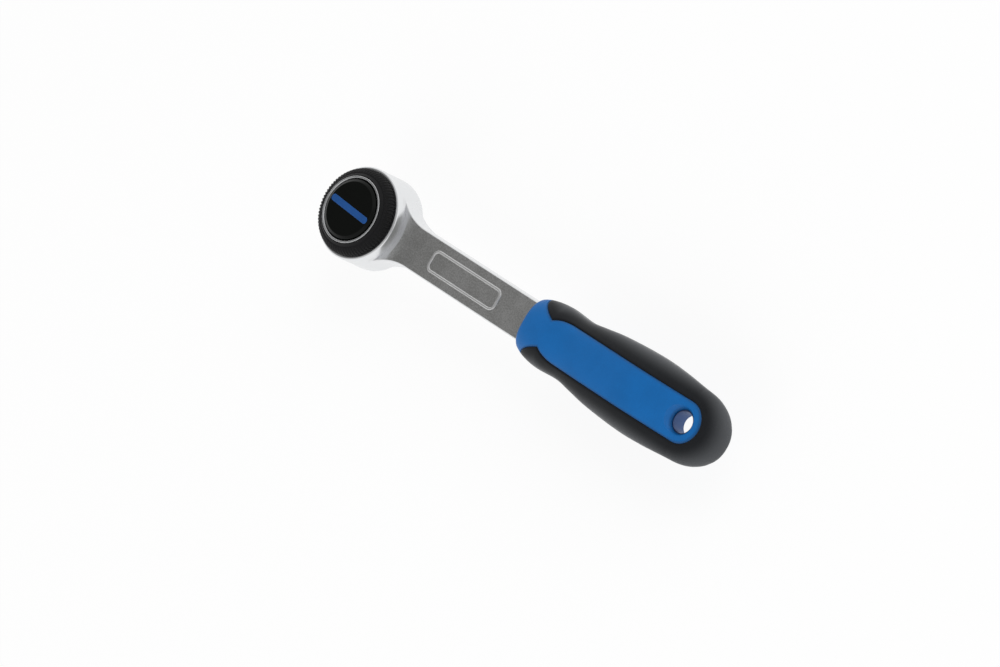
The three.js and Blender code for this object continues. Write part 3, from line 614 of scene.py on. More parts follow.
def solid(
    name: str,
    points: np.ndarray,
    faces: Sequence[Face],
    values: Optional[np.ndarray] = None,
) -> Piece:
    """Makes a piece from points in millimetres.

    Args:
        name: The piece's name.
        points: Points in millimetres.
        faces: Corner numbers of each face.
        values: Distance of each point from the seam, in millimetres.

    Returns:
        The piece, with its doubles merged and its faces outward.
    """
    mesh = bpy.data.meshes.new(name)
    mesh.from_pydata((np.asarray(points, float) * MM).tolist(), [], faces)
    if values is not None:
        seam = mesh.attributes.new(SEAM, "FLOAT", "POINT")
        seam.data.foreach_set("value", np.asarray(values, np.float32))
    with edited(mesh) as shape:
        bmesh.ops.remove_doubles(shape, verts=shape.verts, dist=WELD)
        bmesh.ops.dissolve_degenerate(shape, edges=shape.edges, dist=1e-7)
        bmesh.ops.recalc_face_normals(shape, faces=shape.faces)
    smooth_shading(mesh)
    return add(name, mesh)


def lathe(
    name: str,
    profile: Sequence[Point],
    segments: int,
    closed: bool = False,
    warp: Optional[Callable[[float, float, float], float]] = None,
) -> Piece:
    """Turns a profile about the drive axis.

    Args:
        name: The piece's name.
        profile: Points of radius and height, in millimetres.
        segments: Parts of the full turn.
        closed: Whether the profile is a loop, as on a ring.
        warp: New radius from radius, height and angle.

    Returns:
        The turned piece.
    """
    points = []
    for i in range(segments):
        angle = 2 * math.pi * i / segments
        for radius, height in profile:
            reach = warp(radius, height, angle) if warp else radius
            points.append((reach * math.cos(angle), reach * math.sin(angle), height))
    return solid(name, np.array(points), quads(segments, len(profile), closed, True))


def plate(
    name: str, outline: Sequence[Point], bottom: float, top: float, edge: float = 0.0
) -> Piece:
    """Makes a flat plate with rounded edges.

    Args:
        name: The piece's name.
        outline: Plan outline in millimetres.
        bottom: Lower level.
        top: Upper level.
        edge: Radius of the upper and lower edges.

    Returns:
        The plate.
    """
    count = len(outline)
    points = [(x, y, level) for level in (bottom, top) for x, y in outline]
    faces = [tuple(reversed(range(count))), tuple(range(count, 2 * count))]
    piece = solid(name, np.array(points), faces + quads(2, count, True))
    if edge:
        with edited(piece.data) as shape:
            rims = [e for e in shape.edges if abs(e.verts[0].co.z - e.verts[1].co.z) < 1e-7]
            size = {"offset": edge * MM, "segments": 4, "profile": 0.5}
            bmesh.ops.bevel(shape, geom=rims, affect="EDGES", **size)
        smooth_shading(piece.data)
    return piece


def settle(piece: Piece) -> Piece:
    """Turns a piece's live modifiers into plain mesh.

    Args:
        piece: The piece.

    Returns:
        The same piece without modifiers.
    """
    bpy.context.view_layer.update()
    graph = bpy.context.evaluated_depsgraph_get()
    made = bpy.data.meshes.new_from_object(piece.evaluated_get(graph))
    old = piece.data
    piece.modifiers.clear()
    piece.data = made
    bpy.data.meshes.remove(old)
    return piece


def combine(base: Piece, way: Cut, *tools: Piece) -> Piece:
    """Joins, carves or intersects solids.

    Args:
        base: The solid that is kept.
        way: How the tools act on it.
        tools: Solids that are used up.

    Returns:
        The base.
    """
    for tool in tools:
        step = base.modifiers.new("combine", "BOOLEAN")
        step.operation = way.value
        step.solver = "EXACT"
        step.object = tool
        settle(base)
        bpy.data.meshes.remove(tool.data)
    return base


def even_normals(piece: Piece) -> Piece:
    """Keeps flat faces flat beside rounded edges.

    Args:
        piece: The piece.

    Returns:
        The same piece.
    """
    smooth_shading(piece.data)
    step = piece.modifiers.new("even", "WEIGHTED_NORMAL")
    step.keep_sharp = True
    return settle(piece)


def dress(piece: Piece, finish: Material, body: Body, slot: Slot, node: str) -> None:
    """Gives a piece its finish, its body and the node that it stands for.

    Args:
        piece: The piece.
        finish: Its material.
        body: The body that it rides on.
        slot: The record's slot for the piece; not used.
        node: CAD node that it replaces.
    """
    paint(piece.data, finish)
    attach(piece, body.value)
    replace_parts(piece, node)
    LOG.info("%s: %d faces", piece.name, len(piece.data.polygons))


def cad_copy(node: str, name: str) -> Piece:
    """Copies a CAD node's shape and smooths its shading.

    Args:
        node: The node's name.
        name: The copy's name.

    Returns:
        The copy, at the node's place.
    """
    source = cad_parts[node]
    copy = add(name, source.data.copy())
    copy.matrix_world = source.matrix_world.copy()
    with edited(copy.data) as shape:
        bmesh.ops.remove_doubles(shape, verts=shape.verts, dist=WELD)
    return even_normals(copy)


class NodeShape:
    """Geometry Nodes tree with named inputs."""

    def __init__(self, name: str, inputs: dict[str, tuple[str, Any]]) -> None:
        """Makes the tree's interface.

        Args:
            name: The tree's name.
            inputs: Socket type and value of each named input.
        """
        self.tree = bpy.data.node_groups.new(name, "GeometryNodeTree")
        self.bench = Bench(self.tree)
        self.values: dict[str, Any] = {}
        face = self.tree.interface
        face.new_socket("Geometry", in_out="INPUT", socket_type="NodeSocketGeometry")
        face.new_socket("Geometry", in_out="OUTPUT", socket_type="NodeSocketGeometry")
        for key, (kind, value) in inputs.items():
            made = face.new_socket(key, in_out="INPUT", socket_type=kind)
            self.values[made.identifier] = value
        self.group = self.tree.nodes.new("NodeGroupInput")

    def given(self, name: str) -> Signal:
        """Value of a named input."""
        return Signal(self.bench, self.group.outputs[name])

    def close(self, shape: Signal) -> None:
        """Ends the tree in Realize Instances and Set Material.

        Args:
            shape: The geometry that is shown.
        """
        real = self.bench.node("GeometryNodeRealizeInstances", None, {0: shape})
        inputs = {"Geometry": real, "Material": self.given("Material")}
        painted = self.bench.node("GeometryNodeSetMaterial", None, inputs)
        self.bench.node("NodeGroupOutput", None, {0: painted})

    def apply(self, piece: Piece) -> Piece:
        """Runs the tree on a piece and keeps the plain mesh.

        Args:
            piece: The piece that the tree works on.

        Returns:
            The same piece.
        """
        step = piece.modifiers.new("shape", "NODES")
        step.node_group = self.tree
        for identifier, value in self.values.items():
            step[identifier] = value
        return settle(piece)


@dataclass
class ForgedBody:
    """Head with its tooth ring, shank, raised frame and tang with a hanging eye."""

    head_radius: float = 12.95
    head_bottom: float = 8.0
    head_top: float = 21.2
    bore: float = 5.2
    floor: float = 10.0
    ledge: float = 15.8
    tooth_root: float = 10.1
    tooth_tip: float = 9.15
    teeth: int = 36
    counterbore: float = 10.75
    groove: float = 11.55
    groove_from: float = 17.5
    groove_to: float = 18.5
    shank_bottom: float = 10.8
    shank_top: float = 17.6
    shank_half: float = 5.7
    shank_end: float = 66.3
    flare: float = 18.0
    fillet: float = 1.3
    fillet_root: float = 0.6
    fillet_sink: float = 0.004
    bore_round: float = 0.3
    base_round: float = 2.4
    rim_round: float = 0.6
    lip_round: float = 0.2
    edge: float = 0.45
    tang_half: float = 4.5
    tang_root: float = 9.0
    tang_bottom: float = 11.7
    tang_top: float = 16.7
    eye: float = 5.0
    hole: float = 2.95
    hole_x: float = 122.45
    frame_from: float = 26.6
    frame_to: float = 52.4
    frame_width: float = 5.6
    frame_corner: float = 1.6
    frame_line: float = 0.85
    frame_height: float = 0.3

    def head(self) -> Piece:
        """Turned head, hollow, with teeth in its bore."""
        span = self.tooth_root - self.tooth_tip

        def toothed(radius: float, height: float, angle: float) -> float:
            """Radius of the bore, drawn in to a tooth where the ring is."""
            if abs(radius - self.tooth_root) > 1e-6:
                return radius
            share = angle * self.teeth / (2 * math.pi) % 1
            return self.tooth_tip + span * abs(2 * share - 1)

        corners = [
            (self.bore, self.head_bottom, self.bore_round),
            (self.head_radius, self.head_bottom, self.base_round),
            (self.head_radius, self.head_top, self.rim_round),
            (self.counterbore, self.head_top, self.lip_round),
            (self.counterbore, self.groove_to, 0),
            (self.groove, self.groove_to, 0),
            (self.groove, self.groove_from, 0),
            (self.counterbore, self.groove_from, 0),
            (self.counterbore, self.ledge, 0),
            (self.tooth_root, self.ledge, 0),
            (self.tooth_root, self.floor, 0),
            (self.bore, self.floor, 0),
        ]
        return lathe("head", rounded(corners, 8), 6 * self.teeth, True, toothed)

    def shank_outline(self, inset: float = 0.0) -> list[Point]:
        """Plan outline of the shank, from inside the head's wall to its end.

        Args:
            inset: How far the sides are drawn in.

        Returns:
            The outline.
        """
        centre_y = self.shank_half + self.flare
        centre_x = math.sqrt((self.head_radius + self.flare) ** 2 - centre_y**2)
        lean = math.atan2(centre_y, centre_x)
        inside = (self.counterbore + self.head_radius) / 2
        outline = [(inside * math.cos(a), inside * math.sin(a)) for a in even(-lean, lean, 40)]
        flare = self.flare + inset
        sweep = even(lean + math.pi, 1.5 * math.pi, 24)
        side = [(centre_x + flare * math.cos(a), centre_y + flare * math.sin(a)) for a in sweep]
        side.append((self.shank_end, self.shank_half - inset))
        return outline + side + [(x, -y) for x, y in reversed(side)]

    def fillet_ring(self) -> Piece:
        """Hollow round where the head rises from the shank."""
        inner, size, level = self.head_radius - self.fillet_root, self.fillet, self.shank_top
        profile = [(inner, level - size), (self.head_radius + size, level - size)]
        for turn in even(0, math.pi / 2, 8):
            across = self.head_radius + size * (1 - math.sin(turn))
            profile.append((across, level + size * (1 - math.cos(turn)) - self.fillet_sink))
        profile.append((inner, level + size))
        ring = lathe("fillet", profile, 6 * self.teeth, True)
        outline = self.shank_outline(self.edge / 3)
        within = plate("within", outline, self.shank_bottom + 1, level + size, 0.9 * size)
        return combine(ring, Cut.COMMON, within)

    def tang(self) -> Piece:
        """Tang with its round eye."""
        spread = math.asin(self.tang_half / self.eye)
        root = self.shank_end - self.tang_root
        outline = [(root, self.tang_half), (root, -self.tang_half)]
        arc = even(spread - math.pi, math.pi - spread, 48)
        outline += [(self.hole_x + self.eye * math.cos(a), self.eye * math.sin(a)) for a in arc]
        return plate("tang", outline, self.tang_bottom, self.tang_top)

    def frame_line_piece(self, finish: Material) -> Piece:
        """Raised line round the shank's blank panel, swept along its path.

        Args:
            finish: Its material.

        Returns:
            The line as a plain mesh.
        """
        bead = (self.frame_line**2 / 4 + self.frame_height**2) / (2 * self.frame_height)
        shape = NodeShape("raised_line", {
            "Length": ("NodeSocketFloat", (self.frame_to - self.frame_from) * MM),
            "Width": ("NodeSocketFloat", self.frame_width * MM),
            "Corner": ("NodeSocketFloat", self.frame_corner * MM),
            "Line": ("NodeSocketFloat", bead * MM),
            "Middle": ("NodeSocketFloat", (self.frame_from + self.frame_to) / 2 * MM),
            "Level": ("NodeSocketFloat", (self.shank_top + self.frame_height - bead) * MM),
            "Material": ("NodeSocketMaterial", finish),
        })
        bench = shape.bench
        sides = {"Width": shape.given("Length"), "Height": shape.given("Width")}
        path = bench.node("GeometryNodeCurvePrimitiveQuadrilateral", None, sides)
        bend = {"Curve": path, "Count": 8, "Radius": shape.given("Corner"), "Limit Radius": True}
        path = bench.node("GeometryNodeFilletCurve", {"mode": "POLY"}, bend)
        wire = {"Resolution": 40, "Radius": shape.given("Line")}
        section = bench.node("GeometryNodeCurvePrimitiveCircle", {"mode": "RADIUS"}, wire)
        sweep = {"Curve": path, "Profile Curve": section}
        line = bench.node("GeometryNodeCurveToMesh", None, sweep)
        along = {"X": shape.given("Middle"), "Z": shape.given("Level")}
        spot = bench.node("ShaderNodeCombineXYZ", None, along)
        moved = {"Geometry": line, "Translation": spot}
        shape.close(bench.node("GeometryNodeTransform", None, moved))
        carrier = add("raised_line", bpy.data.meshes.new("raised_line"))
        shape.apply(carrier)
        smooth_shading(carrier.data, 60)
        return carrier

    def build(self, finish: Material) -> Piece:
        """Makes the whole forging.

        Args:
            finish: Its material.

        Returns:
            The forging.
        """
        body = self.head()
        body.name = "forged_body"
        shank = plate("shank", self.shank_outline(), self.shank_bottom, self.shank_top, self.edge)
        combine(body, Cut.JOIN, shank, self.tang(), self.fillet_ring())
        low, high = self.tang_bottom - 1, self.tang_top + 1
        pin = lathe("pin", [(0, low), (self.hole, low), (self.hole, high), (0, high)], 96)
        pin.data.transform(Matrix.Translation((self.hole_x * MM, 0, 0)))
        combine(body, Cut.CARVE, pin)
        combine(body, Cut.JOIN, self.frame_line_piece(finish))
        return even_normals(body)


@dataclass
class Knob:
    """Reversing ring with its ribs and the bright ring set in it."""

    radius: float = 12.15
    bottom: float = 21.4
    top: float = 24.7
    face_radius: float = 10.2
    face_drop: float = 0.7
    crown: float = 2.4
    spigot: float = 9.75
    spigot_bottom: float = 17.4
    well: float = 9.0
    well_floor: float = 19.2
    hole: float = 3.3
    trim_inner: float = 8.45
    trim_outer: float = 9.31
    trim_bottom: float = 22.8
    trim_top: float = 24.75
    rib_count: int = 78
    rib_depth: float = 0.28
    rib_half: float = 0.42
    rib_crest: float = 0.13
    rib_end: float = 82.0
    rib_root: float = 0.12
    rib_blunt: float = 0.05
    rib_foot: Corner = (0.12, 0.35, 0.6)
    edge: float = 0.2
    seat_gap: float = 0.1
    seat_lip: Point = (0.12, 0.1)
    trim_round: Point = (0.2, 0.1)
    trim_bevel: Point = (0.35, 0.4)

    def shoulder(self, degrees: float) -> tuple[Point, Point]:
        """Point and outward direction on the ring's rounded shoulder.

        Args:
            degrees: Place from the side at 0 to the face at 90.

        Returns:
            The point and the direction.
        """
        turn = math.radians(degrees)
        wide, high = self.radius - self.face_radius, self.crown
        centre = self.top - self.face_drop - high
        out = Vector((math.cos(turn) / wide, math.sin(turn) / high)).normalized()
        spot = (self.face_radius + wide * math.cos(turn), centre + high * math.sin(turn))
        return spot, tuple(out)

    def depth(self, degrees: float) -> float:
        """Depth of the valleys between the ribs at a place on the shoulder."""
        share = min(1.0, max(0.0, degrees / self.rib_end))
        return self.rib_depth * (1 - share**3)

    def ring_profile(self) -> list[Point]:
        """Loop of radius and height through the valleys of the ring."""
        seat = self.trim_outer + self.seat_gap
        lip, sunk = self.seat_lip
        valley = self.radius - self.rib_depth
        loop = [(self.hole, self.spigot_bottom), (self.spigot, self.spigot_bottom)]
        loop += [(self.spigot, self.bottom), (valley - self.edge, self.bottom)]
        loop.append((valley, self.bottom + self.edge))
        for degrees in range(0, 91, 6):
            (across, level), out = self.shoulder(degrees)
            sink = self.depth(degrees)
            loop.append((across - sink * out[0], level - sink * out[1]))
        loop += [(seat + lip, self.top), (seat, self.top - sunk), (seat, self.trim_bottom)]
        loop += [(self.well, self.trim_bottom), (self.well, self.well_floor)]
        return loop + [(self.hole, self.well_floor)]

    def rib(self) -> Piece:
        """One rib on the side of +X, from the ring's lower edge over its shoulder."""
        low, high, share = self.rib_foot
        stations = [((self.radius, self.bottom + low), (1.0, 0.0), self.rib_depth * share)]
        stations.append(((self.radius, self.bottom + high), (1.0, 0.0), self.rib_depth))
        for degrees in np.linspace(0, self.rib_end, 9):
            spot, out = self.shoulder(degrees)
            stations.append((spot, out, self.depth(degrees)))
        half, crest = self.rib_half, self.rib_crest
        sides = (-half, -crest, 0, crest, half)
        points = []
        for (across, level), out, rise in stations:
            root, blunt = rise + self.rib_root, self.rib_blunt * rise
            for side, sink in zip(sides, (root, blunt, 0, blunt, root)):
                share = across / self.radius
                points.append((across - sink * out[0], side * share, level - sink * out[1]))
        size = len(sides)
        last = len(points) - size
        faces = quads(len(stations), size, True)
        faces += [tuple(range(size)), tuple(range(len(points) - 1, last - 1, -1))]
        return solid("rib", np.array(points), faces)

    def ring(self, finish: Material) -> Piece:
        """Reversing ring with ribs set round it by a node tree.

        Args:
            finish: Its material.

        Returns:
            The ring.
        """
        base = lathe("knurled_ring", self.ring_profile(), 234, True)
        rib = self.rib()
        shape = NodeShape("ribs_round_ring", {
            "Rib": ("NodeSocketObject", rib),
            "Count": ("NodeSocketInt", self.rib_count),
            "Turn": ("NodeSocketFloat", 2 * math.pi / self.rib_count),
            "Material": ("NodeSocketMaterial", finish),
        })
        bench = shape.bench
        points = bench.node("GeometryNodePoints", None, {"Count": shape.given("Count")})
        number = bench.node("GeometryNodeInputIndex")
        angle = bench.node("ShaderNodeCombineXYZ", None, {"Z": number * shape.given("Turn")})
        one = bench.node("GeometryNodeObjectInfo", None, {"Object": shape.given("Rib")}, "Geometry")
        around = {"Points": points, "Instance": one, "Rotation": angle}
        ribs = bench.node("GeometryNodeInstanceOnPoints", None, around)
        whole = bench.node("GeometryNodeJoinGeometry", None, {0: ribs})
        bench.tree.links.new(shape.given("Geometry").socket, whole.socket.node.inputs[0])
        shape.close(whole)
        shape.apply(base)
        bpy.data.meshes.remove(rib.data)
        smooth_shading(base.data, 38)
        return base

    def trim(self) -> Piece:
        """Bright ring between the reversing ring and the button."""
        crown, foot = self.trim_round
        across, drop = self.trim_bevel
        corners = [
            (self.trim_inner, self.trim_bottom, 0),
            (self.trim_outer, self.trim_bottom, 0),
            (self.trim_outer, self.trim_top, crown),
            (self.trim_inner + across, self.trim_top, crown),
            (self.trim_inner, self.trim_top - drop, foot),
        ]
        ring = lathe("bright_ring", rounded(corners, 5), 240, True)
        return even_normals(ring)


@dataclass
class PushButton:
    """Push button with a plain bar set across its face."""

    radius: float = 8.25
    flange: float = 8.8
    flange_bottom: float = 21.5
    flange_top: float = 22.6
    top: float = 25.25
    bevel: float = 0.75
    bevel_height: float = 0.45
    boss: float = 3.1
    skin: float = 1.3
    socket: float = 1.4
    bar_length: float = 14.6
    bar_width: float = 1.9
    bar_depth: float = 0.5
    bar_gap: float = 0.1
    bar_proud: float = 0.05
    bar_turn: float = -4.0
    bar_edge: float = 0.1
    bar_corner: float = 0.9
    flange_round: float = 0.1
    side_round: float = 0.18
    face_round: float = 0.3

    def bar_outline(self, gap: float) -> list[Point]:
        """Plan outline of the bar, made wider all round by a gap."""
        half, wide = self.bar_length / 2 + gap, self.bar_width / 2 + gap
        ends = ((-half, -wide), (half, -wide), (half, wide), (-half, wide))
        turn = math.radians(self.bar_turn)
        cos, sin = math.cos(turn), math.sin(turn)
        path = rounded([(x, y, self.bar_corner * wide) for x, y in ends], 10)
        return [(x * cos - y * sin, x * sin + y * cos) for x, y in path]

    def button(self) -> Piece:
        """Button shell."""
        inside = self.radius - self.skin
        hollow = self.top - self.skin
        corners = [
            (0, self.flange_top, 0),
            (self.socket, self.flange_top, 0),
            (self.socket, self.flange_bottom, 0),
            (self.boss, self.flange_bottom, 0),
            (self.boss, hollow, 0),
            (inside, hollow, 0),
            (inside, self.flange_bottom, 0),
            (self.flange, self.flange_bottom, 0),
            (self.flange, self.flange_top, self.flange_round),
            (self.radius, self.flange_top, 0),
            (self.radius, self.top - self.bevel_height, self.side_round),
            (self.radius - self.bevel, self.top, self.face_round),
            (0, self.top, 0),
        ]
        shell = lathe("push_button", rounded(corners, 5, False), 240)
        low, high = self.top - self.bar_depth, self.top + 1
        slot = plate("slot", self.bar_outline(self.bar_gap), low, high)
        combine(shell, Cut.CARVE, slot)
        return even_normals(shell)

    def bar(self) -> Piece:
        """Plain coloured bar."""
        low, high = self.top - self.bar_depth, self.top + self.bar_proud
        bar = plate("button_bar", self.bar_outline(0), low, high, self.bar_edge)
        return even_normals(bar)


@dataclass
class Ball:
    """Locking ball in the side of the drive square."""

    radius: float = 1.1
    level: float = 4.0
    reach: float = 2.55

    def build(self) -> Piece:
        """Makes the ball at its place."""
        arc = even(-math.pi / 2, math.pi / 2, 24)
        profile = [(self.radius * math.cos(a), self.radius * math.sin(a)) for a in arc]
        profile[0], profile[-1] = (0, -self.radius), (0, self.radius)
        ball = lathe("ball", profile, 48)
        ball.data.transform(Matrix.Translation((0, -self.reach * MM, self.level * MM)))
        return ball


@dataclass(frozen=True)
class CoilSpring:
    """Spring that stands on the drive and is pressed by another body."""

    name: str
    node: str
    pressed_by: Body
    foot: Corner
    head: Corner

    def build(self, finish: Material) -> Piece:
        """Copy of the CAD coil, with its finish, in place of its node.

        Args:
            finish: Its material.

        Returns:
            The coil.
        """
        coil = cad_copy(self.node, self.name)
        paint(coil.data, finish)
        ends = [tuple(MM * value for value in spot) for spot in (self.foot, self.head)]
        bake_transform(coil)
        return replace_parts(coil, self.node)


@dataclass
class Grip:
    """Two-part grip: a hard core with a collar, and soft sides that meet round the end."""

    level: float = 14.2
    power: float = 2.6
    start: float = 64.3
    length: float = 58.2
    width: float = 22.3
    thickness: float = 13.6
    end_length: float = 13.7
    soft: float = 2.0
    shell: float = 1.7
    collar: float = 2.3
    collar_round: float = 1.1
    strip_half: float = 5.8
    lobe_length: float = 6.5
    lobe_half: float = 8.7
    lobe_turn: float = 0.26
    pinch_half: float = 4.0
    shoulder_length: float = 7.1
    shoulder_turn: float = 0.35
    hole_x: float = 122.45
    hole: float = 2.95
    mouth: float = 3.95
    neck: float = 2.8
    throat_gap: float = 0.3
    dish_margin: float = 0.05
    groove: float = 0.28
    groove_reach: float = 0.55
    end_shade: float = 0.2
    grid_step: float = 0.02
    ease_cells: int = 150
    ease_spread: float = 60.0
    ease_width: float = 2.6
    fade_width: float = 0.9
    thin_width: float = 1.6
    seam_room: float = 1.2
    seam_steps: tuple[float, ...] = (0, 0.05, 0.12, 0.2, 0.3, 0.42, 0.55)
    body_step: float = 0.36
    body_end: float = 3.0
    lobe_step: float = 0.06
    lobe_room: Point = (0.1, 1.5)
    pinch_room: float = 0.7
    cusp_from: float = 0.8
    cusp_past: float = 0.014
    end_from: float = 1.05
    side_count: int = 18
    strip_count: int = 20
    least: float = 1e-4
    closest: float = 0.012
    shares: tuple[Corner, ...] = (
        (0.0, 0.646, 0.853),
        (0.044, 0.74, 0.897),
        (0.092, 0.794, 0.926),
        (0.147, 0.816, 0.941),
        (0.28, 0.785, 0.919),
        (0.374, 0.852, 0.941),
        (0.475, 0.928, 0.971),
        (0.708, 1.0, 1.0),
        (0.841, 0.978, 0.838),
        (1.0, 0.905, 0.53),
    )

    def __post_init__(self) -> None:
        """Works out the curves that every section reads."""
        scale = (self.length, self.width / 2, self.thickness / 2)
        knots = np.array(self.shares) * scale + (self.start, 0, 0)
        ends = np.vstack([2 * knots[0] - knots[1], knots, 2 * knots[-1] - knots[-2]])
        rows = []
        for i in range(1, len(ends) - 2):
            rows.append(self.spline(ends[i - 1: i + 3], np.linspace(0, 1, 40, endpoint=False)))
        curve = np.vstack(rows)
        turn = np.linspace(0, math.pi / 2, 200)
        last = knots[-1]
        end = last[0] + self.end_length * np.sin(turn)
        cap = np.stack([end, last[1] * np.cos(turn), last[2] * np.cos(turn)], 1)
        curve = np.vstack([curve, cap])
        self.end_start, self.tip = last[0], last[0] + self.end_length
        self.lobe_start = self.start + self.collar
        self.pinch_x = self.lobe_start + self.lobe_length
        count = round((self.tip - self.start) / self.grid_step) + 1
        grid = np.linspace(self.start, self.tip, count)
        self.grid = grid
        self.wide = self.eased(np.interp(grid, curve[:, 0], curve[:, 1]), last[0])
        self.thick = self.eased(np.interp(grid, curve[:, 0], curve[:, 2]), last[0])
        self.edge = self.strip_edge()
        self.dish_face = float(np.interp(self.hole_x, grid, self.thick))

    @staticmethod
    def spline(knots: np.ndarray, share: np.ndarray) -> np.ndarray:
        """Centripetal spline between the middle two of four knots.

        Args:
            knots: Four knots in a row.
            share: Places between the middle two, from 0 to 1.

        Returns:
            Points on the spline.
        """
        before, step, after = np.sqrt(np.linalg.norm(np.diff(knots, axis=0), axis=1))
        a, b, c, d = knots
        leave = ((b - a) / before - (c - a) / (before + step) + (c - b) / step) * step
        reach = ((c - b) / step - (d - b) / (step + after) + (d - c) / after) * step
        s = share[:, None]
        square, cube = 3 * (c - b) - 2 * leave - reach, 2 * (b - c) + leave + reach
        return b + leave * s + square * s**2 + cube * s**3

    def eased(self, values: np.ndarray, joint: float) -> np.ndarray:
        """Evens out the small kink where the round end starts.

        Args:
            values: A half width or half thickness on the grid.
            joint: Where the end starts.

        Returns:
            The values with the kink eased.
        """
        cells = self.ease_cells
        spread = np.exp(-0.5 * (np.arange(-cells, cells + 1) / self.ease_spread) ** 2)
        mean = np.convolve(np.pad(values, cells, mode="edge"), spread / spread.sum(), mode="valid")
        share = np.exp(-0.5 * ((self.grid - joint) / self.ease_width) ** 2)
        return values + (mean - values) * share

    def strip_edge(self) -> np.ndarray:
        """Half width of the hard strip in plan, on the grid."""

        def arch(start: Point, bend: Point, stop: Point) -> np.ndarray:
            """Points of a quadratic curve."""
            s = np.linspace(0, 1, 80)[:, None]
            first, middle, last = np.array([start, bend, stop])
            return (1 - s) ** 2 * first + 2 * s * (1 - s) * middle + s**2 * last

        pinch = (self.pinch_x, self.pinch_half)
        lobe_bend = self.lobe_start + self.lobe_turn * self.lobe_length
        shoulder_bend = self.pinch_x + self.shoulder_turn * self.shoulder_length
        shoulder = (self.pinch_x + self.shoulder_length, self.strip_half)
        lobe = arch((self.lobe_start, self.lobe_half), (lobe_bend, self.strip_half), pinch)
        rise = arch(pinch, (shoulder_bend, self.strip_half), shoulder)
        turn = np.linspace(0, math.pi / 2, 200)
        along = self.hole_x + self.strip_half * np.sin(turn)
        end = np.stack([along, self.strip_half * np.cos(turn)], 1)
        collar = [[self.start, self.length], [self.lobe_start - 0.01, self.length]]
        line = np.vstack([collar, lobe, rise[1:], end, [[self.tip, 0]]])
        return np.interp(self.grid, line[:, 0], line[:, 1])

    def places(self) -> np.ndarray:
        """Places of the sections, closer together where the outline turns."""
        square = math.pi / 2
        before, beyond = self.lobe_room
        rim = self.start + self.collar_round * (1 - np.cos(np.linspace(0, square, 9)))
        body = np.arange(self.start + self.collar_round, self.tip - self.body_end, self.body_step)
        lobe = np.arange(self.lobe_start - before, self.lobe_start + beyond, self.lobe_step)
        pinch = self.pinch_x + np.linspace(-self.pinch_room, self.pinch_room, 15)
        cusp = self.hole_x + self.strip_half * np.sin(np.linspace(self.cusp_from, square, 48))
        past = [self.hole_x + self.strip_half + self.cusp_past]
        end = self.end_start + self.end_length * np.sin(np.linspace(self.end_from, square, 26))
        every = np.sort(np.concatenate([rim, body, lobe, pinch, cusp, past, end]))
        kept = [every[0]]
        for place in every[1:]:
            if min(place - kept[-1], self.tip - place) > self.closest:
                kept.append(place)
        return np.array(kept + [self.tip])

    def quarter(self, x: float) -> dict[str, np.ndarray]:
        """One quarter of a section, from the side to the middle of the upper face.

        Args:
            x: Place of the section.

        Returns:
            Points of the soft side's face, the core under it and the strip's face, each with
            its distance from the seam.
        """
        wide, thick = np.interp(x, self.grid, self.wide), np.interp(x, self.grid, self.thick)
        rim = max(0.0, self.collar_round - (x - self.start))
        drop = self.collar_round - math.sqrt(max(0.0, self.collar_round**2 - rim**2))
        wide, thick = max(wide - drop, self.least), max(thick - drop, self.least)
        edge = np.interp(x, self.grid, self.edge)
        bend = 2 / self.power
        turn = np.linspace(0, math.pi / 2, 240)
        across, up = wide * np.cos(turn).clip(0) ** bend, thick * np.sin(turn) ** bend
        run = np.concatenate([[0], np.cumsum(np.hypot(np.diff(across), np.diff(up)))])
        border = math.acos(min(1.0, (edge / wide) ** (1 / bend)))
        middle = float(np.interp(border, turn, run))
        total = float(run[-1])
        seam_level = np.interp(middle, run, up)
        fade = min(1.0, middle / self.fade_width)
        out_y, out_z = np.gradient(up, run), -np.gradient(across, run)

        def face(spots: np.ndarray) -> np.ndarray:
            """Points on the outer face, rolled in beside the seam."""
            y, z = np.interp(spots, run, across), np.interp(spots, run, up)
            away = np.abs(spots - middle)
            mark = away
            if x > self.hole_x:
                reach = np.hypot(x - self.hole_x, y)
                away = np.abs(reach - self.strip_half) + (seam_level - z).clip(0) / 2
                mark = away * (1 - self.end_shade * ((x - self.hole_x) / reach) ** 4)
            sink = fade * self.groove * np.clip(1 - away / self.groove_reach, 0, 1) ** 2
            y = y - sink * np.interp(spots, run, out_y)
            z = z - sink * np.interp(spots, run, out_z)
            return np.stack([np.full_like(y, x), y, z, mark], 1)

        side = self.spread(0.0, middle, self.side_count, False)
        strip = self.spread(middle, total, self.strip_count, True)
        inset = self.soft * min(1.0, middle / self.thin_width)
        angle = np.interp(side, run, turn)
        low_y = max(wide - inset, self.least) * np.cos(angle).clip(0) ** bend
        low_z = max(thick - inset, self.least) * np.sin(angle) ** bend
        under = np.stack([np.full_like(low_y, x), low_y, low_z, np.zeros_like(low_y)], 1)
        shown = face(strip)
        if x > self.hole_x + self.strip_half:
            shown = np.repeat(under[-1:], len(shown), axis=0)
        return {"side": face(side), "under": under, "strip": shown}

    def spread(self, start: float, stop: float, count: int, seam_first: bool) -> np.ndarray:
        """Places along a section, close together beside the seam.

        Args:
            start: First place.
            stop: Last place.
            count: Number of places away from the seam.
            seam_first: Whether the seam is at the start.

        Returns:
            The places in order.
        """
        length = stop - start
        near = np.array(self.seam_steps) * min(1.0, length / self.seam_room)
        far = near[-1] + (length - near[-1]) * np.linspace(0, 1, count)[1:]
        steps = np.concatenate([near, far])
        return start + steps if seam_first else stop - steps[::-1]

    @staticmethod
    def mirrored(quarter: np.ndarray) -> np.ndarray:
        """Full loop of a section from its first quarter."""
        half = np.concatenate([quarter, quarter[::-1] * FLIP_SIDE])
        return np.concatenate([half, half * FLIP_SIDE * FLIP_FACE])

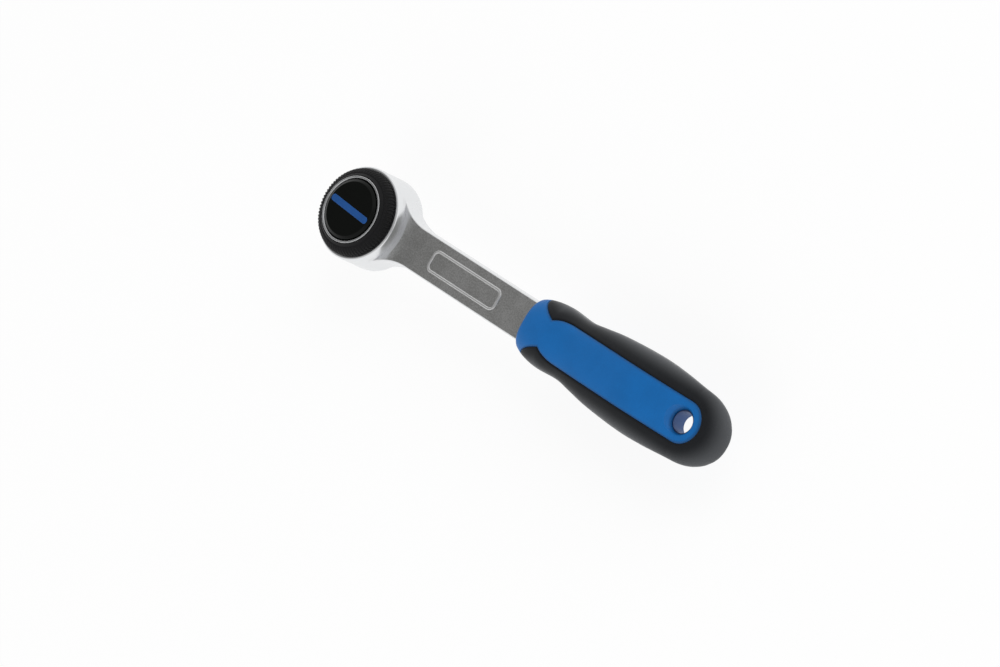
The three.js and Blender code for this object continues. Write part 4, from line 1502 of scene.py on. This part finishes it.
    def raised(self, points: np.ndarray) -> np.ndarray:
        """Points lifted to the grip's level."""
        return points[:, :3] + np.array([0, 0, self.level])

    def core(self) -> Piece:
        """Hard core with its collar, strips and dished hanging hole."""
        rings = []
        for x in self.places():
            part = self.quarter(x)
            rings.append(self.mirrored(np.concatenate([part["under"], part["strip"]])))
        rings = [ring for ring in rings if ring[0, 0] < self.tip - self.soft]
        size = len(rings[0])
        points = np.concatenate(rings)
        faces = quads(len(rings), size, True)
        faces += [tuple(range(size)), tuple(range(len(points) - size, len(points)))]
        piece = solid("grip_core", self.raised(points), faces, points[:, 3])
        combine(piece, Cut.CARVE, self.funnel())
        self.shade_dish(piece.data)
        smooth_shading(piece.data, 40)
        return piece

    def shade_dish(self, mesh: Mesh) -> None:
        """Marks the dish of the hanging hole as a seam that deepens inward.

        Args:
            mesh: The core's mesh.
        """
        count = len(mesh.vertices)
        places, marks = np.empty(3 * count, np.float32), np.empty(count, np.float32)
        mesh.vertices.foreach_get("co", places)
        mesh.attributes[SEAM].data.foreach_get("value", marks)
        x, y, z = (places / MM).reshape(-1, 3).T
        height = np.abs(z - self.level)
        depth = (height - self.neck) / (self.dish_face - self.neck)
        inside = np.hypot(x - self.hole_x, y) < self.dish(height) + self.dish_margin
        marks[inside] = SEAM_REACH * np.clip(depth, 0, 1)[inside]
        mesh.attributes[SEAM].data.foreach_set("value", marks)

    def dish(self, level: Union[float, np.ndarray]) -> Union[float, np.ndarray]:
        """Radius of the hanging hole's dish.

        Args:
            level: Height over the grip's middle plane.

        Returns:
            The radius at that height.
        """
        throat = self.hole + self.throat_gap
        rise = np.maximum(0, level - self.neck)
        return throat + (self.mouth - throat) * rise / (self.dish_face - self.neck)

    def funnel(self) -> Piece:
        """Room of the hanging hole, dished towards both faces."""
        beyond = self.thickness / 2
        levels = np.linspace(self.neck, beyond, 22).tolist()
        half = [(float(self.dish(level)), level) for level in levels]
        profile = [(0, -beyond)] + [(r, -z) for r, z in reversed(half)] + half + [(0, beyond)]
        tool = lathe("funnel", profile, 128)
        tool.data.transform(Matrix.Translation((self.hole_x * MM, 0, self.level * MM)))
        return tool

    def sides(self) -> Piece:
        """Soft sides, one shell that meets round the end."""
        strips: list[list[np.ndarray]] = [[], []]
        for x in self.places():
            if x < self.lobe_start - 0.02:
                continue
            upper = self.quarter(x)["side"]
            lower = upper[::-1] * FLIP_FACE
            strip = np.concatenate([lower, upper[1:]])
            strips[0].append(strip)
            strips[1].append(strip[::-1] * FLIP_SIDE)
        points, faces, start = [], [], 0
        for rows in strips:
            faces += quads(len(rows), len(rows[0]), False, first=start)
            start += len(rows) * len(rows[0])
            points += rows
        every = np.concatenate(points)
        piece = solid("grip_sides", self.raised(every), faces, every[:, 3])
        step = piece.modifiers.new("wall", "SOLIDIFY")
        step.thickness = self.shell * MM
        step.offset = -1
        step.use_even_offset = False
        settle(piece)
        smooth_shading(piece.data, 40)
        return piece


@dataclass
class Studio:
    """Floor, light and camera of the photograph."""

    focal: float = 5440.5
    image_width: float = 1000.0
    sensor: float = 36.0
    right: Corner = (0.6640, 0.5005, -0.5563)
    back: Corner = (0.6096, 0.0697, 0.7907)
    aim: Corner = (0.0, 0.0, 24.3)
    offset: Corner = (39.36, -32.79, 1440.0)
    fill_low: float = 1.1
    fill_high: float = 0.3
    dim_behind: float = 0.81
    dim_front: float = 0.7
    dim_ceiling: float = 0.45
    floor_glow: float = 0.85
    glow_strength: float = 1.03
    floor_half: float = 6.0
    floor_gap: float = 0.0004
    behind_limits: Point = (0.74, 0.97)
    front_limits: Point = (0.7, 0.97)
    ceiling_limits: Point = (0.2, 0.65)
    fill_limits: Point = (0.0, 0.9)
    lamp_aim: Corner = (0.07, 0, 0.015)

    def camera(self) -> None:
        """Makes the camera at the photograph's place."""
        data = bpy.data.cameras.new("camera")
        data.sensor_width = self.sensor
        data.lens = self.focal / self.image_width * self.sensor
        data.clip_start, data.clip_end = 0.05, 20
        back = Vector(self.back).normalized()
        right = Vector(self.right)
        right = (right - back * right.dot(back)).normalized()
        up = back.cross(right)
        aside, above, away = self.offset
        spot = Vector(self.aim) + right * aside + up * above + back * away
        camera = add("camera", data)
        turn = Matrix((right, up, back)).transposed().to_4x4()
        camera.matrix_world = Matrix.Translation(spot * MM) @ turn
        bpy.context.scene.camera = camera

    def shown_ray(self, bench: Bench) -> Signal:
        """One for rays that see the background directly, in gloss or through glass."""
        total = bench.ray("Camera") + bench.ray("Glossy") + bench.ray("Transmission")
        return total.math("MINIMUM", total, 1.0)

    def world(self) -> None:
        """White room that gloss sees dimmer overhead, round the camera and opposite to it."""
        world = bpy.data.worlds.new("studio")
        bpy.context.scene.world = world
        world.use_nodes = True
        bench = Bench(world.node_tree)
        view = bench.place("Generated")

        def patch(toward: Corner, limits: Point) -> Signal:
            """Round patch of the room about a direction."""
            turned = {"operation": "DOT_PRODUCT"}
            facing = bench.node("ShaderNodeVectorMath", turned, {0: view, 1: toward}, "Value")
            return bench.rise(facing, *limits)

        behind = patch((-self.back[0], -self.back[1], self.back[2]), self.behind_limits)
        front = patch(self.back, self.front_limits)
        above = bench.axis(view, "Z")
        ceiling = self.dim_ceiling * bench.rise(above, *self.ceiling_limits)
        dim = self.dim_behind * behind + self.dim_front * front
        dim = dim.math("MAXIMUM", dim, ceiling) * bench.ray("Glossy")
        shown = self.shown_ray(bench)
        height = bench.rise(above, *self.fill_limits)
        fill = self.fill_low + (self.fill_high - self.fill_low) * height
        level = shown * (1 - dim) + (1 - shown) * fill
        light = bench.node("ShaderNodeBackground", None, {"Color": (1, 1, 1, 1), "Strength": level})
        bench.node("ShaderNodeOutputWorld", None, {"Surface": light})

    def floor(self) -> None:
        """Pale floor under the lowest point."""
        low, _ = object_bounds()
        mesh = bpy.data.meshes.new("floor")
        with edited(mesh) as shape:
            bmesh.ops.create_grid(shape, x_segments=8, y_segments=8, size=self.floor_half)
        mesh.transform(Matrix.Translation((0, 0, low.z - self.floor_gap)))
        floor = add("floor", mesh)
        material, bench = new_material("pale_floor")
        shown = self.shown_ray(bench) * self.floor_glow
        matt = bench.node("ShaderNodeBsdfDiffuse", None, {"Color": (0.9, 0.9, 0.9, 1)})
        white = {"Color": (1, 1, 1, 1), "Strength": self.glow_strength}
        glow = bench.node("ShaderNodeEmission", None, white)
        mixed = bench.node("ShaderNodeMixShader", None, {0: shown, 1: matt, 2: glow})
        bench.node("ShaderNodeOutputMaterial", None, {"Surface": mixed})
        mesh.materials.append(material)
        floor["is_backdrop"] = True

    def lamp(self, name: str, place: Sequence[float], size: float, watts: float) -> None:
        """Adds a soft lamp that faces the ratchet.

        Args:
            name: Its name.
            place: Its place in metres.
            size: Side of its square face in metres.
            watts: Its power.
        """
        data = bpy.data.lights.new(name, "AREA")
        data.size = size
        data.energy = watts
        lamp = add(name, data)
        spot = Vector(place)
        turn = (Vector(self.lamp_aim) - spot).to_track_quat("-Z", "Y")
        lamp.matrix_world = Matrix.Translation(spot) @ turn.to_matrix().to_4x4()
        lamp.visible_glossy = False

    def build(self) -> None:
        """Sets the stage."""
        self.camera()
        self.world()
        self.floor()
        self.lamp("key", (0.5, 1.1, 1.0), 1.2, 9.0)
        self.lamp("side", (0.3, -1.2, 0.9), 1.2, 7.0)
        bpy.context.scene.view_settings.view_transform = "Standard"


def inner_pieces() -> None:
    """Makes the coil springs and gives the CAD nodes that stay their steels."""
    dark = OiledSteel("dark_steel", linear(108, 110, 112), 0.34).make()
    spring = OiledSteel("spring_steel", linear(160, 163, 166), 0.24).make()
    coils = (
        CoilSpring("release_coil", "release_spring", Body.BUTTON, (0, 0, 13.1), (0, 0, 21.4)),
        CoilSpring("forward_coil", "pawl_spring_forward", Body.FORWARD_PAWL,
                   (0.87, 3.77, 13.55), (2.89, 5.24, 13.55)),
        CoilSpring("reverse_coil", "pawl_spring_reverse", Body.REVERSE_PAWL,
                   (0.87, -3.77, 13.55), (2.0, -4.6, 13.55)),
    )
    for coil in coils:
        coil.build(spring)
    springs = ("spring", "pin", "washer", "retaining")
    for name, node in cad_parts.items():
        if node.hide_render:
            continue
        finish = spring if any(word in name for word in springs) else dark
        paint(node.data, finish)
        LOG.info("%s keeps its CAD shape", name)


def main() -> None:
    logging.basicConfig(level=logging.INFO, format="%(name)s %(message)s")
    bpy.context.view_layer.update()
    Studio().build()
    steel = ForgedSteel().make()
    black = Moulded("ring_black", linear(24, 24, 25), 0.5, 0.00022, 0.2, specular=0.14).make()
    trim = Plated("trim_plating", 0.2).make()
    gloss = Moulded("button_gloss", linear(8, 10, 8), 0.16, 0.0006, 0.02, specular=0.2).make()
    bar = Moulded("bar_blue", linear(20, 78, 146), 0.35, 0.0003, 0.1).make()
    blue = Moulded(
        "core_blue", linear(9, 103, 176), 0.44, 0.00028, 0.14, 0.06,
        specular=0.35, seam_shade=0.45,
    ).make()
    # The soft sides get painted shade by the seam and a painted highlight towards their rims.
    soft = Moulded(
        "side_soft", linear(27, 29, 32), 0.5, 0.00032, 0.3, 0.12,
        sheen=0.7, specular=0.2, seam_shade=0.25, rim=linear(82, 84, 87),
    ).make()
    plating = Plated("drive_plating", 0.14).make()
    knob, button, grip = Knob(), PushButton(), Grip()
    rows = (
        (ForgedBody().build(steel), steel, Body.HANDLE, Slot.SATIN_STEEL, "ratchet_body"),
        (knob.ring(black), black, Body.REVERSER, Slot.BLACK_PLASTIC, "reversing_ring"),
        (knob.trim(), trim, Body.REVERSER, Slot.CHROME, "trim_ring"),
        (button.button(), gloss, Body.BUTTON, Slot.GLOSS_BLACK, "release_button"),
        (button.bar(), bar, Body.BUTTON, Slot.BLUE_PLASTIC, "button_inlay"),
        (grip.core(), blue, Body.HANDLE, Slot.BLUE_PLASTIC, "handle_core"),
        (grip.sides(), soft, Body.HANDLE, Slot.SOFT_BLACK, "soft_grip"),
        (cad_copy("drive_anvil", "drive_spindle"), plating, Body.DRIVE, Slot.CHROME, "drive_anvil"),
        (Ball().build(), plating, Body.BALL, Slot.CHROME, "locking_ball"),
    )
    for row in rows:
        dress(*row)
    inner_pieces()


if __name__ == "__main__":
    main()
